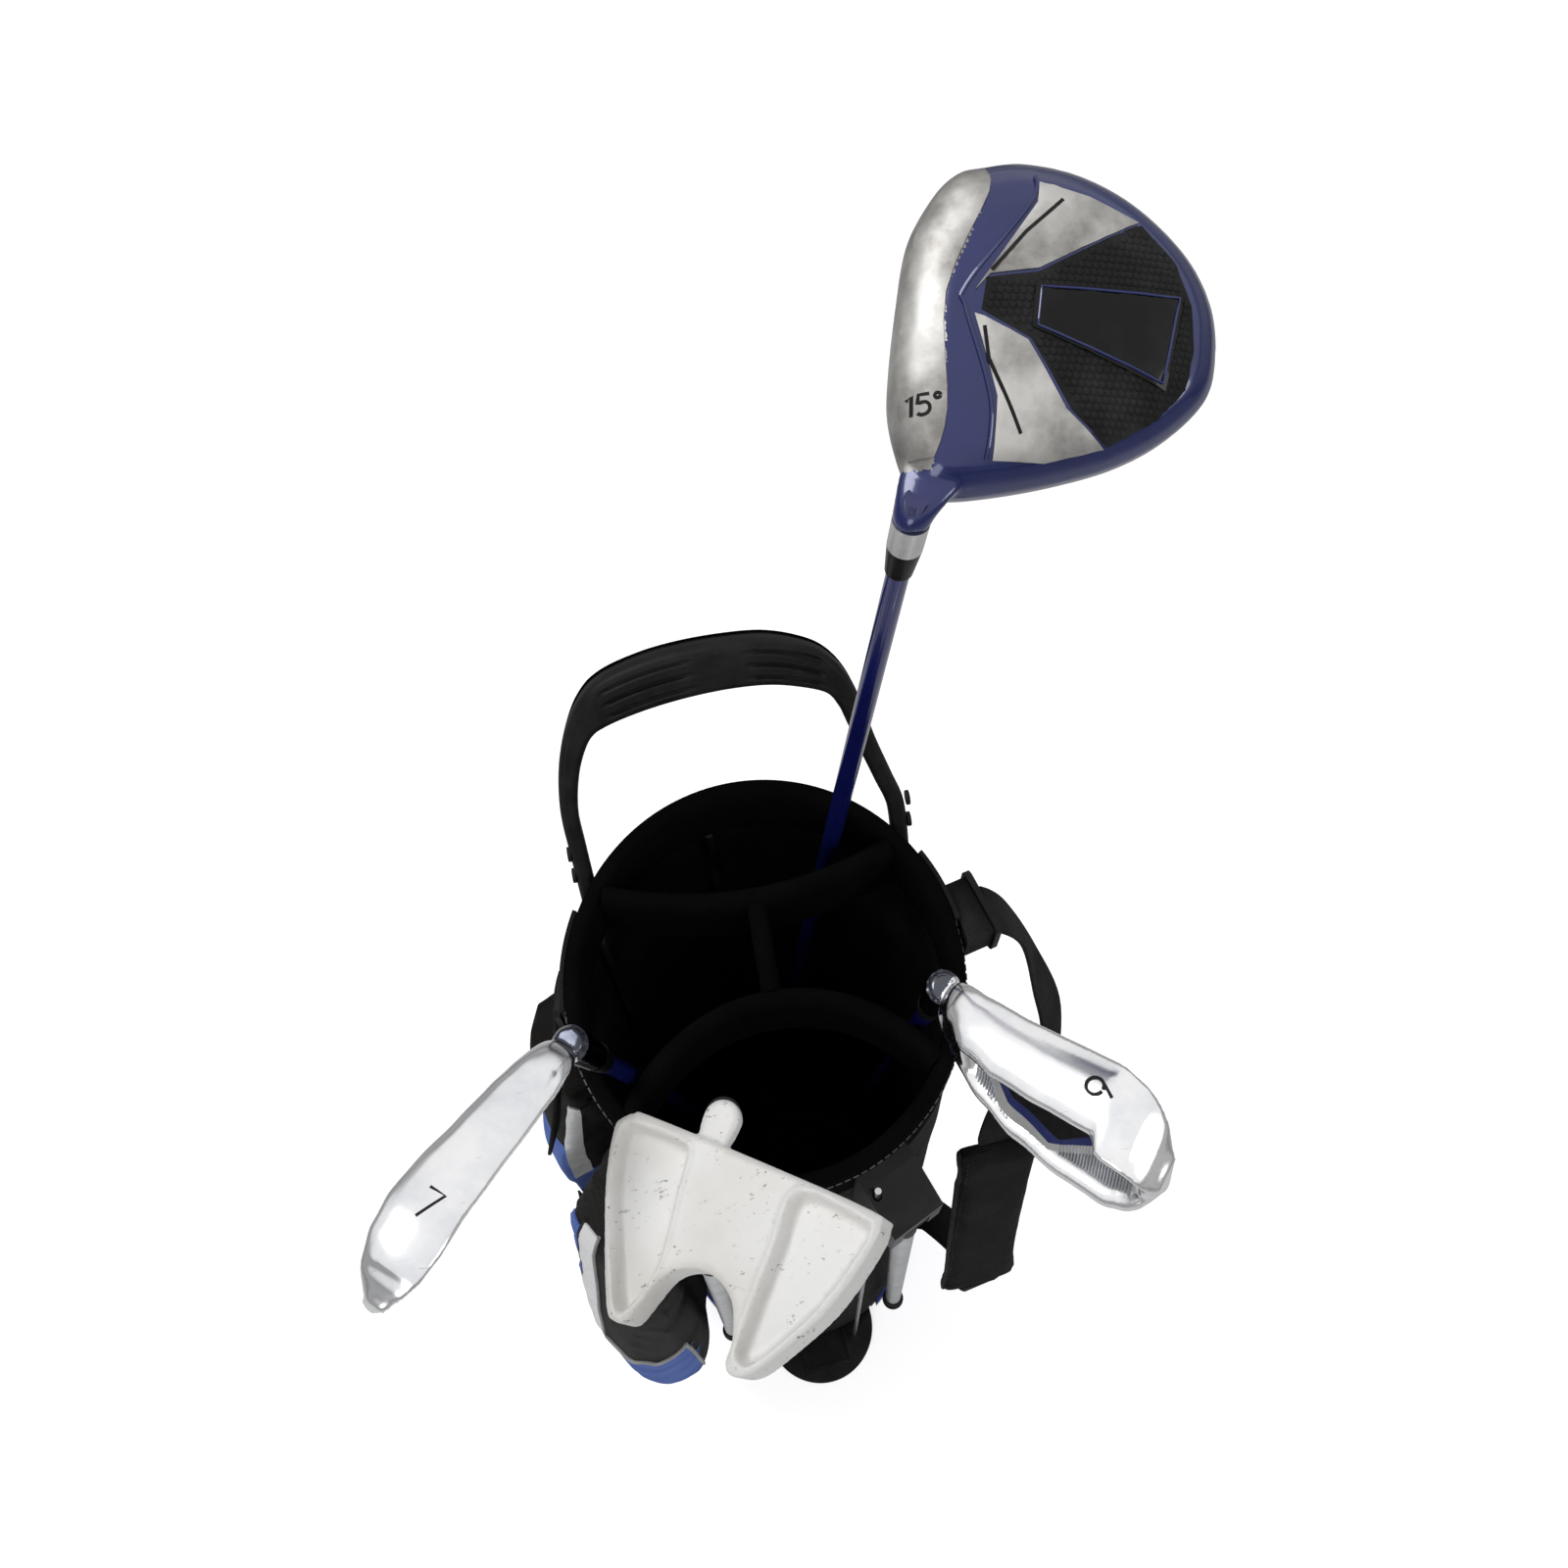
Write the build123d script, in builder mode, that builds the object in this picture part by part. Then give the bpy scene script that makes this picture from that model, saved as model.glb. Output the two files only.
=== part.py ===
from build123d import *
import os
from math import cos, hypot, radians, sin, tan

os.makedirs("parts", exist_ok=True)

# All sizes in millimetres.  +Z is up, -Y is the side of the stand legs, +Y is the side of the handle.
# The origin is the centre of the base, on the floor.

# ---------------------------------------------------------------- driving dimensions
collar_height = 680.0  # centre of the collar's top above the floor
collar_shift = -10.0  # the bag leans this far sideways
collar_tilt = 18.0  # the collar's top rises toward the handle
ring_rx = 92.0
ring_ry = 89.4
ring_wall = 8.0
ring_depth = 34.0
divider_wall = 8.0
glue_gap = 0.05  # between pieces that are bonded or sewn together
soft_gap = 0.4  # between a soft piece and its neighbour
running_fit = 0.05  # radial, between a pin and its bore

base_radius = 95.0
base_height = 46.0
base_wall = 9.0
base_floor = 5.0
band_low = 10.0
band_high = 43.0
band_wall = 3.2
pad_top = 22.5  # top of the foam pad that the grips stand on

shell_step = 1.0  # the shell stands this far outside the base
shell_radius = base_radius + shell_step
shell_wall = 3.0
shell_rx = 91.0
shell_ry = 88.0

foot_turn = 4.0  # the foot points this far off the bag's centre line
foot_width = 92.0
foot_overhang = 37.0
foot_reach = base_radius + foot_overhang  # from the bag's axis to the tip of the foot
foot_plate = 4.0
foot_pin_inset = 23.0
foot_pin_y = base_radius - foot_pin_inset
foot_pin_z = 8.0
foot_pin_radius = 2.0
foot_lug_radius = 5.0
foot_rib = 3.0
foot_rib_height = 7.0
foot_travel = 25.0

hinge_azimuth = 25.0  # each leg hinge stands this far off the bag's front
hinge_width = 28.0
hinge_slot = 15.0
hinge_pin_radial = 111.0
hinge_drop = 74.0  # from the collar's centre down to the leg hinges
hinge_pin_z = collar_height - hinge_drop
hinge_pin_radius = 2.5
leg_radius = 6.0
leg_foot_z = 90.0
leg_foot_clear = 12.0
leg_foot_radial = base_radius + leg_foot_clear
leg_foot_azimuth = 38.5
rod_radius = 1.5
rod_radial = 100.0
rod_offset = 10.5  # sideways of the hinge centre, toward the bag's front
rod_bore = 2.2

handle_half = 78.0
handle_rise = 101.0
handle_lean = 30.0
handle_side = 8.5
handle_bar = 22.0
handle_depth = 15.0

shaft_butt_radius = 5.2
shaft_tip_radius = 4.1
grip_butt_radius = 10.8
grip_mouth_radius = 8.0
grip_cap = 6.0
seat_gap = 0.3  # between a grip's end and the floor pad

# ---------------------------------------------------------------- planes and shared shapes
tilt = radians(collar_tilt)
top_plane = Plane(
    origin=(collar_shift, 0, collar_height), x_dir=(1, 0, 0), z_dir=(0, -sin(tilt), cos(tilt))
)
ring_bottom = collar_height - ring_depth
bottom_plane = Plane(
    origin=(collar_shift, 0, ring_bottom), x_dir=(1, 0, 0), z_dir=(0, -sin(tilt), cos(tilt))
)
ring_low = ring_bottom - ring_ry * tan(tilt) - 10
ring_high = collar_height + ring_ry * tan(tilt) + 10


def collar_z(y, drop=0.0):
    """Height of the collar's top plane at y, less a drop."""
    return collar_height + y * tan(tilt) - drop


def collar_slab(depth_from, depth_to, reach=150.0):
    """A solid between two planes parallel to the collar's top."""
    with BuildPart() as slab:
        with BuildSketch(Plane.YZ.offset(collar_shift - reach)):
            with BuildLine():
                Polyline(
                    (-reach, collar_z(-reach, depth_to)),
                    (reach, collar_z(reach, depth_to)),
                    (reach, collar_z(reach, depth_from)),
                    (-reach, collar_z(-reach, depth_from)),
                    close=True,
                )
            make_face()
        extrude(amount=2 * reach)
    return slab.part


def collar_tube(inner_grow, outer_grow, low, high):
    """An upright elliptical tube round the collar's axis; no inner size gives a solid."""
    with BuildPart() as tube:
        with BuildSketch(Plane((collar_shift, 0, low))):
            Ellipse(ring_rx + outer_grow, ring_ry + outer_grow)
            if inner_grow is not None:
                Ellipse(ring_rx + inner_grow, ring_ry + inner_grow, mode=Mode.SUBTRACT)
        extrude(amount=high - low)
    return tube.part


def bag_form(grow, low):
    """The bag's tapered outside, grown by an amount, from a height up into the collar."""
    share = (low - base_height) / (collar_height - base_height)
    low_rx = shell_radius + (shell_rx - shell_radius) * share + grow
    low_ry = shell_radius + (shell_ry - shell_radius) * share + grow
    with BuildPart() as form:
        with BuildSketch(Plane((collar_shift * low / collar_height, 0, low))):
            Ellipse(low_rx, low_ry)
        with BuildSketch(Plane((collar_shift, 0, collar_height))):
            Ellipse(shell_rx + grow, shell_ry + grow)
        loft()
    return form.part


def save(piece, label):
    """Name a finished piece and write it."""
    piece.part.label = label
    export_step(piece.part, "parts/" + label + ".step")


# ---------------------------------------------------------------- base
foot_plane = Plane.XY.rotated((0, 0, foot_turn))
foot_side = Plane.YZ.rotated((0, 0, foot_turn))
recess_half = foot_width / 2 + 2
recess_back = foot_pin_y - 8
recess_rise = tan(radians(foot_travel))
recess_roof = 15.0
block_roof = 38.0
block_wall = 5.0


def foot_recess(half, roof_extra=0.0):
    """The space under the base's front that the foot swings in."""
    with BuildPart() as space:
        with BuildSketch(foot_side.offset(-half)):
            with BuildLine():
                Polyline(
                    (-recess_back, -1),
                    (-recess_back, recess_roof + roof_extra),
                    (-110, recess_roof + roof_extra + (110 - recess_back) * recess_rise),
                    (-110, -1),
                    close=True,
                )
            make_face()
        extrude(amount=2 * half)
    return space.part


with BuildPart() as foot_house:
    with BuildSketch(foot_plane):
        with Locations((0, -(recess_back + base_radius) / 2 + block_wall / 2)):
            Rectangle(foot_width + 4 + 2 * block_wall, base_radius - recess_back + block_wall)
    extrude(amount=block_roof)
    with BuildSketch(Plane.XY):
        Circle(base_radius - 1)
    extrude(amount=block_roof, mode=Mode.INTERSECT)

base_recess = foot_recess(recess_half)
band_recess = foot_recess(recess_half + 4, roof_extra=40)

with BuildPart() as base_cup:
    with BuildSketch(Plane.XY):
        Circle(base_radius)
    extrude(amount=base_height)
    with BuildSketch(Plane.XY.offset(base_floor)):
        Circle(base_radius - base_wall)
    extrude(amount=base_height, mode=Mode.SUBTRACT)
    add(foot_house.part)
    add(base_recess, mode=Mode.SUBTRACT)
    with BuildSketch(foot_side.offset(-recess_half - block_wall - 1)):
        with Locations((-foot_pin_y, foot_pin_z)):
            Circle(foot_pin_radius + running_fit)
    extrude(amount=2 * (recess_half + block_wall + 1), mode=Mode.SUBTRACT)
    chamfer(base_cup.edges().filter_by(GeomType.CIRCLE).group_by(Axis.Z)[-1], 1.0)
save(base_cup, "base_cup")

with BuildPart() as base_band:
    with BuildSketch(Plane.XY.offset(band_low)):
        Circle(base_radius + glue_gap + band_wall)
        Circle(base_radius + glue_gap, mode=Mode.SUBTRACT)
    extrude(amount=band_high - band_low)
    add(band_recess, mode=Mode.SUBTRACT)
save(base_band, "base_band")

with BuildPart() as rocker_pin:
    with BuildSketch(foot_side.offset(-recess_half - block_wall)):
        with Locations((-foot_pin_y, foot_pin_z)):
            Circle(foot_pin_radius)
    extrude(amount=2 * (recess_half + block_wall))
save(rocker_pin, "rocker_pin")

with BuildPart() as floor_pad:
    with BuildSketch(Plane.XY.offset(base_floor + glue_gap)):
        Circle(base_radius - base_wall - soft_gap)
        with Locations(Plane.XY.rotated((0, 0, foot_turn)).offset(0)):
            with Locations((0, -base_radius)):
                Rectangle(
                    foot_width + 4 + 2 * block_wall + 2 * soft_gap,
                    2 * (base_radius - recess_back + block_wall + soft_gap),
                    mode=Mode.SUBTRACT,
                )
    extrude(amount=pad_top - base_floor - glue_gap)
save(floor_pad, "floor_pad")

# ---------------------------------------------------------------- foot
lug_x = 30.0
lug_width = 10.0
rib_x = 19.0
with BuildPart() as rocker_foot:
    with BuildSketch(foot_plane):
        with Locations((0, -foot_reach + foot_width / 2)):
            Circle(foot_width / 2)
        with Locations((0, -foot_pin_y - 3 - foot_width)):
            Rectangle(2 * foot_width, 2 * foot_width, mode=Mode.INTERSECT)
        with Locations((0, -(foot_reach - foot_width / 2 + foot_pin_y + 3) / 2)):
            Rectangle(foot_width, foot_reach - foot_width / 2 - foot_pin_y - 3)
    extrude(amount=foot_plate)
    with BuildSketch(foot_plane.offset(foot_plate)):
        for side in (-1, 1):
            with Locations((side * rib_x, -(foot_pin_y + 5 + foot_reach - 10) / 2)):
                Rectangle(foot_rib, foot_reach - 10 - foot_pin_y - 5)
        with Locations((0, -foot_reach + 12)):
            Rectangle(2 * rib_x, foot_rib)
    extrude(amount=foot_rib_height)
    for side in (-1, 1):
        with BuildSketch(foot_side.offset(side * lug_x - lug_width / 2)):
            with Locations((-foot_pin_y, foot_pin_z)):
                Circle(foot_lug_radius)
            with BuildLine():
                Polyline(
                    (-foot_pin_y, foot_pin_z - foot_lug_radius + 0.2),
                    (-foot_pin_y - 10, foot_plate - 1),
                    (-foot_pin_y - 10, foot_plate),
                    (-foot_pin_y - 2, foot_pin_z + foot_lug_radius - 0.5),
                    close=True,
                )
            make_face()
        extrude(amount=lug_width)
    with BuildSketch(foot_side.offset(-foot_width)):
        with Locations((-foot_pin_y, foot_pin_z)):
            Circle(foot_pin_radius + running_fit)
    extrude(amount=2 * foot_width, mode=Mode.SUBTRACT)
save(rocker_foot, "rocker_foot")

# ---------------------------------------------------------------- fabric body and its stays
shell_outside = bag_form(0, base_height)
shell_inside = bag_form(-shell_wall, base_height)

with BuildPart() as body_shell:
    add(shell_outside)
    add(shell_inside, mode=Mode.SUBTRACT)
    split(bisect_by=bottom_plane, keep=Keep.BOTTOM)
save(body_shell, "body_shell")

stay_radius = 2.0
stay_angles = (100, 150, 300)
stay_low_radial = shell_radius - shell_wall - stay_radius - 1
stay_top_inset = shell_wall + stay_radius + 0.8
with BuildPart() as stay_rods:
    for angle in stay_angles:
        low_point = Vector(
            stay_low_radial * cos(radians(angle)), stay_low_radial * sin(radians(angle)), base_height - 8
        )
        high_point = Vector(
            collar_shift + (shell_rx - stay_top_inset) * cos(radians(angle)),
            (shell_ry - stay_top_inset) * sin(radians(angle)),
            collar_height,
        )
        with BuildSketch(Plane(origin=low_point, z_dir=high_point - low_point)):
            Circle(stay_radius)
        extrude(amount=(high_point - low_point).length)
    split(bisect_by=bottom_plane, keep=Keep.BOTTOM)
    split(bisect_by=Plane.XY.offset(base_height), keep=Keep.TOP)
save(stay_rods, "stay_rods")

# ---------------------------------------------------------------- collar ring and dividers
ring_tube = collar_tube(-ring_wall, 0, ring_low, ring_high)

with BuildPart() as top_ring:
    add(ring_tube)
    split(bisect_by=bottom_plane, keep=Keep.TOP)
    split(bisect_by=top_plane, keep=Keep.BOTTOM)
save(top_ring, "top_ring")

divider_core = collar_tube(None, -ring_wall - glue_gap, ring_low, ring_high)
divider_slab = collar_slab(0, ring_depth)
back_edge = 53.0  # where the rear divider meets the ring
back_sag = 37.0  # its middle
front_edge = -50.0
front_sag = -8.0
divider_reach = 76.0


def arc_wall(edge_y, mid_y, reach):
    """A curved divider wall, cut to the ring's inside and the collar's tilt."""
    with BuildPart() as wall:
        with BuildSketch(Plane((collar_shift, 0, ring_low))):
            with BuildLine():
                ThreePointArc((-reach, edge_y), (0, mid_y), (reach, edge_y))
            trace(line_width=divider_wall)
        extrude(amount=ring_high - ring_low)
        add(divider_core, mode=Mode.INTERSECT)
        add(divider_slab, mode=Mode.INTERSECT)
    return wall.part


back_wall = arc_wall(back_edge, back_sag, divider_reach)
front_wall = arc_wall(front_edge, front_sag, divider_reach - 3)

with BuildPart() as divider_back:
    add(back_wall)
save(divider_back, "divider_back")

with BuildPart() as divider_front:
    add(front_wall)
save(divider_front, "divider_front")

with BuildPart() as divider_centre:
    with BuildSketch(Plane((collar_shift, 0, ring_low))):
        with Locations((1.5, (back_sag + front_sag) / 2)):
            Rectangle(divider_wall, back_sag - front_sag - divider_wall - 2 * glue_gap)
    extrude(amount=ring_high - ring_low)
    add(divider_slab, mode=Mode.INTERSECT)
save(divider_centre, "divider_centre")

# ---------------------------------------------------------------- handle
lean = radians(handle_lean)
handle_foot_y = 63.0 * cos(tilt)
handle_plane = Plane(
    origin=(collar_shift, handle_foot_y + 4, collar_z(63.0 * cos(tilt))),
    x_dir=(1, 0, 0),
    z_dir=(0, -cos(lean), sin(lean)),
)
ring_outer = collar_tube(None, glue_gap, ring_low - 40, ring_high + 40)
with BuildPart() as handle:
    with BuildSketch(handle_plane.offset(-handle_depth / 2)):
        with BuildLine():
            Polyline(
                (-handle_half, -20),
                (-handle_half, 30),
                (-62, 84),
                (-42, handle_rise - 4),
                (0, handle_rise + 1),
                (42, handle_rise - 6),
                (57, 78),
                (handle_half, 14),
                (handle_half, -20),
                close=True,
            )
        make_face()
        with BuildLine():
            Polyline(
                (-handle_half + handle_side, -21),
                (-handle_half + handle_side, 30),
                (-56, 70),
                (-46, handle_rise - handle_bar - 4),
                (0, handle_rise - handle_bar),
                (44, handle_rise - handle_bar - 6),
                (51, 64),
                (handle_half - handle_side, 14),
                (handle_half - handle_side, -21),
                close=True,
            )
        make_face(mode=Mode.SUBTRACT)
    extrude(amount=handle_depth)
    add(ring_outer, mode=Mode.SUBTRACT)
save(handle, "handle")

rivet_radius = 3.5
rivet_length = handle_depth
with BuildPart() as handle_rivets:
    for side in (-1, 1):
        for height in (-6, 6):
            start = handle_plane.from_local_coords(
                Vector(side * (handle_half - handle_side / 2) + side * handle_side / 2, height, 0)
            )
            with BuildSketch(Plane(origin=start, x_dir=(0, 1, 0), z_dir=(side, 0, 0))):
                Circle(rivet_radius)
            extrude(amount=1.6)
save(handle_rivets, "handle_rivets")

# ---------------------------------------------------------------- leg hinges, legs and push rods
ring_clear = collar_tube(None, glue_gap, 0, ring_high)
body_clear = bag_form(soft_gap, base_height)


def outward(azimuth):
    """Unit vector away from the bag, measured from its front."""
    return Vector(sin(radians(azimuth)), -cos(radians(azimuth)), 0)


def sideways(azimuth):
    """Unit vector round the bag, square to outward."""
    return Vector(cos(radians(azimuth)), sin(radians(azimuth)), 0)


collar_axis = Vector(collar_shift, 0, 0)


def hinge_point(azimuth, radial, along, height):
    """A point placed from the collar's axis."""
    return collar_axis + outward(azimuth) * radial + sideways(azimuth) * along + Vector(0, 0, height)


def hinge_plane(azimuth, along):
    """Plane square to a leg hinge's pin, with x outward and y up."""
    return Plane(
        origin=hinge_point(azimuth, 0, along, 0), x_dir=outward(azimuth), z_dir=-sideways(azimuth)
    )


rod_low_z = 6.5
rod_top_z = hinge_pin_z + 44
rod_low_clear = 4.0
rod_low_y = -(base_radius + rod_low_clear)
rod_low_half = 32.0
rod_low_shift = 2.0


def rod_line(azimuth):
    """The low and high ends of the push rod beside a leg hinge."""
    side = 1 if azimuth > 0 else -1
    low = Vector(side * rod_low_half + rod_low_shift, rod_low_y, rod_low_z)
    high = hinge_point(azimuth, rod_radial, -side * rod_offset, rod_top_z)
    return low, high


def leg_hinge_housing(azimuth):
    """The bracket that a stand leg swings in, with the guide of its push rod."""
    rod_low, rod_top = rod_line(azimuth)
    with BuildPart() as housing:
        with BuildSketch(hinge_plane(azimuth, hinge_width / 2)):
            with BuildLine():
                Polyline(
                    (84, hinge_pin_z - 12),
                    (84, hinge_pin_z + 37),
                    (96, hinge_pin_z + 35),
                    (119, hinge_pin_z + 21),
                    (119, hinge_pin_z - 5),
                    (114, hinge_pin_z - 12),
                    close=True,
                )
            make_face()
        extrude(amount=hinge_width)
        with BuildSketch(hinge_plane(azimuth, hinge_slot / 2)):
            with BuildLine():
                Polyline(
                    (hinge_pin_radial - 9.5, hinge_pin_z - 20),
                    (hinge_pin_radial - 9.5, hinge_pin_z + 12),
                    (hinge_pin_radial + 20, hinge_pin_z + 12),
                    (hinge_pin_radial + 20, hinge_pin_z - 20),
                    close=True,
                )
            make_face()
        extrude(amount=hinge_slot, mode=Mode.SUBTRACT)
        with BuildSketch(hinge_plane(azimuth, hinge_width)):
            with Locations((hinge_pin_radial, hinge_pin_z)):
                Circle(hinge_pin_radius + running_fit)
        extrude(amount=2 * hinge_width, mode=Mode.SUBTRACT)
        with BuildSketch(Plane(origin=rod_top, z_dir=rod_low - rod_top)):
            Circle(rod_bore)
        extrude(amount=90, mode=Mode.SUBTRACT)
        add(ring_clear, mode=Mode.SUBTRACT)
        add(body_clear, mode=Mode.SUBTRACT)
    return housing.part


def leg_line(azimuth):
    """The hinge point and the foot point of a leg."""
    side = 1 if azimuth > 0 else -1
    top = hinge_point(azimuth, hinge_pin_radial, 0, hinge_pin_z)
    low = outward(side * leg_foot_azimuth) * leg_foot_radial + Vector(0, 0, leg_foot_z)
    return top, low


hinge_azimuths = {"left": -hinge_azimuth, "right": hinge_azimuth}
knuckle_width = hinge_slot - 1.2
knuckle_radius = 7.5
sleeve_length = 36.0
tube_start = 14.0
tube_wall = 1.2
tip_length = 26.0
tip_radius = 8.5

for side_name, azimuth in hinge_azimuths.items():
    housing_part = leg_hinge_housing(azimuth)
    with BuildPart() as hinge_housing:
        add(housing_part)
    save(hinge_housing, "hinge_housing_" + side_name)

    leg_top, leg_low = leg_line(azimuth)
    leg_way = (leg_low - leg_top).normalized()
    leg_length = (leg_low - leg_top).length
    across = hinge_plane(azimuth, 0).z_dir

    with BuildPart() as leg_knuckle:
        with BuildSketch(hinge_plane(azimuth, knuckle_width / 2)):
            with Locations((hinge_pin_radial, hinge_pin_z)):
                Circle(knuckle_radius)
        extrude(amount=knuckle_width)
        with BuildSketch(Plane(origin=leg_top + leg_way * 4, z_dir=leg_way)):
            Circle(knuckle_radius - 0.8)
        extrude(amount=sleeve_length - 4)
        with BuildSketch(Plane(origin=leg_top + leg_way * tube_start, z_dir=leg_way)):
            Circle(leg_radius + glue_gap)
        extrude(amount=sleeve_length, mode=Mode.SUBTRACT)
        with BuildSketch(hinge_plane(azimuth, hinge_width)):
            with Locations((hinge_pin_radial, hinge_pin_z)):
                Circle(hinge_pin_radius + running_fit)
        extrude(amount=2 * hinge_width, mode=Mode.SUBTRACT)
    save(leg_knuckle, "leg_knuckle_" + side_name)

    with BuildPart() as leg_tube:
        with BuildSketch(Plane(origin=leg_top + leg_way * (tube_start + glue_gap), z_dir=leg_way)):
            Circle(leg_radius)
            Circle(leg_radius - tube_wall, mode=Mode.SUBTRACT)
        extrude(amount=leg_length - tube_start)
    save(leg_tube, "leg_tube_" + side_name)

    with BuildPart() as leg_tip:
        with BuildSketch(Plane(origin=leg_low - leg_way * (tip_length - 6), z_dir=leg_way)):
            Circle(tip_radius - 1)
        extrude(amount=tip_length)
        with BuildSketch(Plane(origin=leg_low - leg_way * 2, z_dir=leg_way)):
            Circle(tip_radius)
        extrude(amount=8)
        with BuildSketch(Plane(origin=leg_low - leg_way * tip_length, z_dir=leg_way)):
            Circle(leg_radius + glue_gap)
        extrude(amount=tip_length + 2 * glue_gap, mode=Mode.SUBTRACT)
    save(leg_tip, "leg_tip_" + side_name)

with BuildPart() as hinge_pins:
    for azimuth in hinge_azimuths.values():
        with BuildSketch(hinge_plane(azimuth, hinge_width / 2)):
            with Locations((hinge_pin_radial, hinge_pin_z)):
                Circle(hinge_pin_radius)
        extrude(amount=hinge_width)
save(hinge_pins, "hinge_pins")

with BuildPart() as push_rods:
    for azimuth in hinge_azimuths.values():
        rod_low, rod_top = rod_line(azimuth)
        with BuildSketch(Plane(origin=rod_low, z_dir=rod_top - rod_low)):
            Circle(rod_radius)
        extrude(amount=(rod_top - rod_low).length)
save(push_rods, "push_rods")

# ---------------------------------------------------------------- pockets on the bag's left front
pocket_azimuth = -58.0
pocket_axis = Vector(collar_shift * 0.44, 0, 0)
pocket_outline = [(-78, -50), (-82, -100), (-92, -118), (-126, -122), (-168, -98), (-158, -60), (-100, -15)]
side_pocket_radius = 136.0


def hung(drop):
    """Height of a sewn place, so far below the collar's centre."""
    return collar_height - drop


def pocket_plane(along):
    """Plane square to the bag's side at the pockets, with x outward and y up."""
    return Plane(
        origin=pocket_axis + sideways(pocket_azimuth) * along,
        x_dir=outward(pocket_azimuth),
        z_dir=-sideways(pocket_azimuth),
    )


with BuildPart() as pocket_front:
    with BuildSketch(pocket_plane(110)):
        with BuildLine():
            Polyline(
                (60, 150),
                (152, 150),
                (160, 185),
                (160, 250),
                (150, 340),
                (130, hung(220)),
                (98, hung(135)),
                (60, hung(135)),
                close=True,
            )
        make_face()
    extrude(amount=200)
    with BuildSketch(Plane.XY.offset(100)):
        with BuildLine():
            Polyline(*pocket_outline, close=True)
        make_face()
    extrude(amount=500, mode=Mode.INTERSECT)
    add(body_clear, mode=Mode.SUBTRACT)
save(pocket_front, "pocket_front")

with BuildPart() as pocket_side:
    with BuildSketch(pocket_plane(-49)):
        with BuildLine():
            Polyline(
                (30, 120),
                (120, 120),
                (138, 150),
                (138, 400),
                (122, hung(180)),
                (102, hung(110)),
                (30, hung(110)),
                close=True,
            )
        make_face()
    extrude(amount=60)
    with BuildSketch(Plane(pocket_axis + Vector(0, 0, 100))):
        Circle(side_pocket_radius)
    extrude(amount=500, mode=Mode.INTERSECT)
    add(body_clear, mode=Mode.SUBTRACT)
save(pocket_side, "pocket_side")

zip_azimuth = -82.0
zip_width = 6.0
zip_wall = 1.4
zip_low = 190.0
zip_high = 395.0


def zip_plane(azimuth, radial, height):
    """Upright plane facing away from the side pocket."""
    return Plane(
        origin=pocket_axis + outward(azimuth) * radial + Vector(0, 0, height),
        x_dir=sideways(azimuth),
        z_dir=outward(azimuth),
    )


with BuildPart() as zip_track:
    with BuildSketch(zip_plane(zip_azimuth, side_pocket_radius + glue_gap, (zip_low + zip_high) / 2)):
        Rectangle(zip_width, zip_high - zip_low)
    extrude(amount=zip_wall)
save(zip_track, "zip_track")

pull_z = 340.0
pull_radial = side_pocket_radius + glue_gap + zip_wall + soft_gap
with BuildPart() as zip_pull:
    with BuildSketch(zip_plane(zip_azimuth, pull_radial, pull_z)):
        RectangleRounded(7.5, 10, 1.5)
    extrude(amount=2.6)
    with BuildSketch(zip_plane(zip_azimuth, pull_radial + 1, pull_z - 15)):
        RectangleRounded(5, 24, 2)
    extrude(amount=1.4)
    with BuildSketch(zip_plane(zip_azimuth, side_pocket_radius, pull_z - 23)):
        Circle(1.1)
    extrude(amount=20, mode=Mode.SUBTRACT)
save(zip_pull, "zip_pull")

# ---------------------------------------------------------------- straps and webbing
web_wall = 2.0


def ring_web(angle_from, angle_to, drop_from, drop_to):
    """Webbing sewn round the outside of the collar between two angles from +X."""
    band = collar_tube(glue_gap, glue_gap + web_wall, ring_low - 20, ring_high)
    slab = collar_slab(drop_from, drop_to)
    reach = 200
    middle = radians((angle_from + angle_to) / 2)
    with BuildPart() as web:
        add(band)
        add(slab, mode=Mode.INTERSECT)
        with BuildSketch(Plane((collar_shift, 0, ring_low - 30))):
            with BuildLine():
                Polyline(
                    (0, 0),
                    (reach * cos(radians(angle_from)), reach * sin(radians(angle_from))),
                    (reach * 1.3 * cos(middle), reach * 1.3 * sin(middle)),
                    (reach * cos(radians(angle_to)), reach * sin(radians(angle_to))),
                    close=True,
                )
            make_face()
        extrude(amount=300, mode=Mode.INTERSECT)
    return web.part


def ribbon(stations, wide, thick):
    """A flat strap through (point, width direction) stations."""
    points = [Vector(*point) for point, _ in stations]
    last = len(points) - 1
    with BuildPart() as strap:
        for number, (point, width_way) in enumerate(stations):
            before = points[max(number - 1, 0)]
            after = points[min(number + 1, last)]
            with BuildSketch(Plane(origin=points[number], x_dir=Vector(*width_way), z_dir=after - before)):
                Rectangle(wide, thick)
        loft(ruled=True)
    return strap.part


right_web = ring_web(8, 29, 3, 31)
left_web = ring_web(151, 178, 3, 31)

with BuildPart() as strap_ring_web:
    add(right_web)
save(strap_ring_web, "strap_ring_web")

with BuildPart() as left_ring_web:
    add(left_web)
save(left_ring_web, "left_ring_web")

adjuster_spot = Plane(origin=(97.5, 20, hung(11)), x_dir=(-0.24, 0.97, 0), z_dir=(0.97, 0.24, 0))
adjuster_back = 3.5
with BuildPart() as strap_adjuster:
    with BuildSketch(adjuster_spot.offset(-adjuster_back)):
        RectangleRounded(34, 26, 4)
        with Locations((0, 6.5), (0, -6.5)):
            Rectangle(26, 5, mode=Mode.SUBTRACT)
    extrude(amount=3)
save(strap_adjuster, "strap_adjuster")

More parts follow.
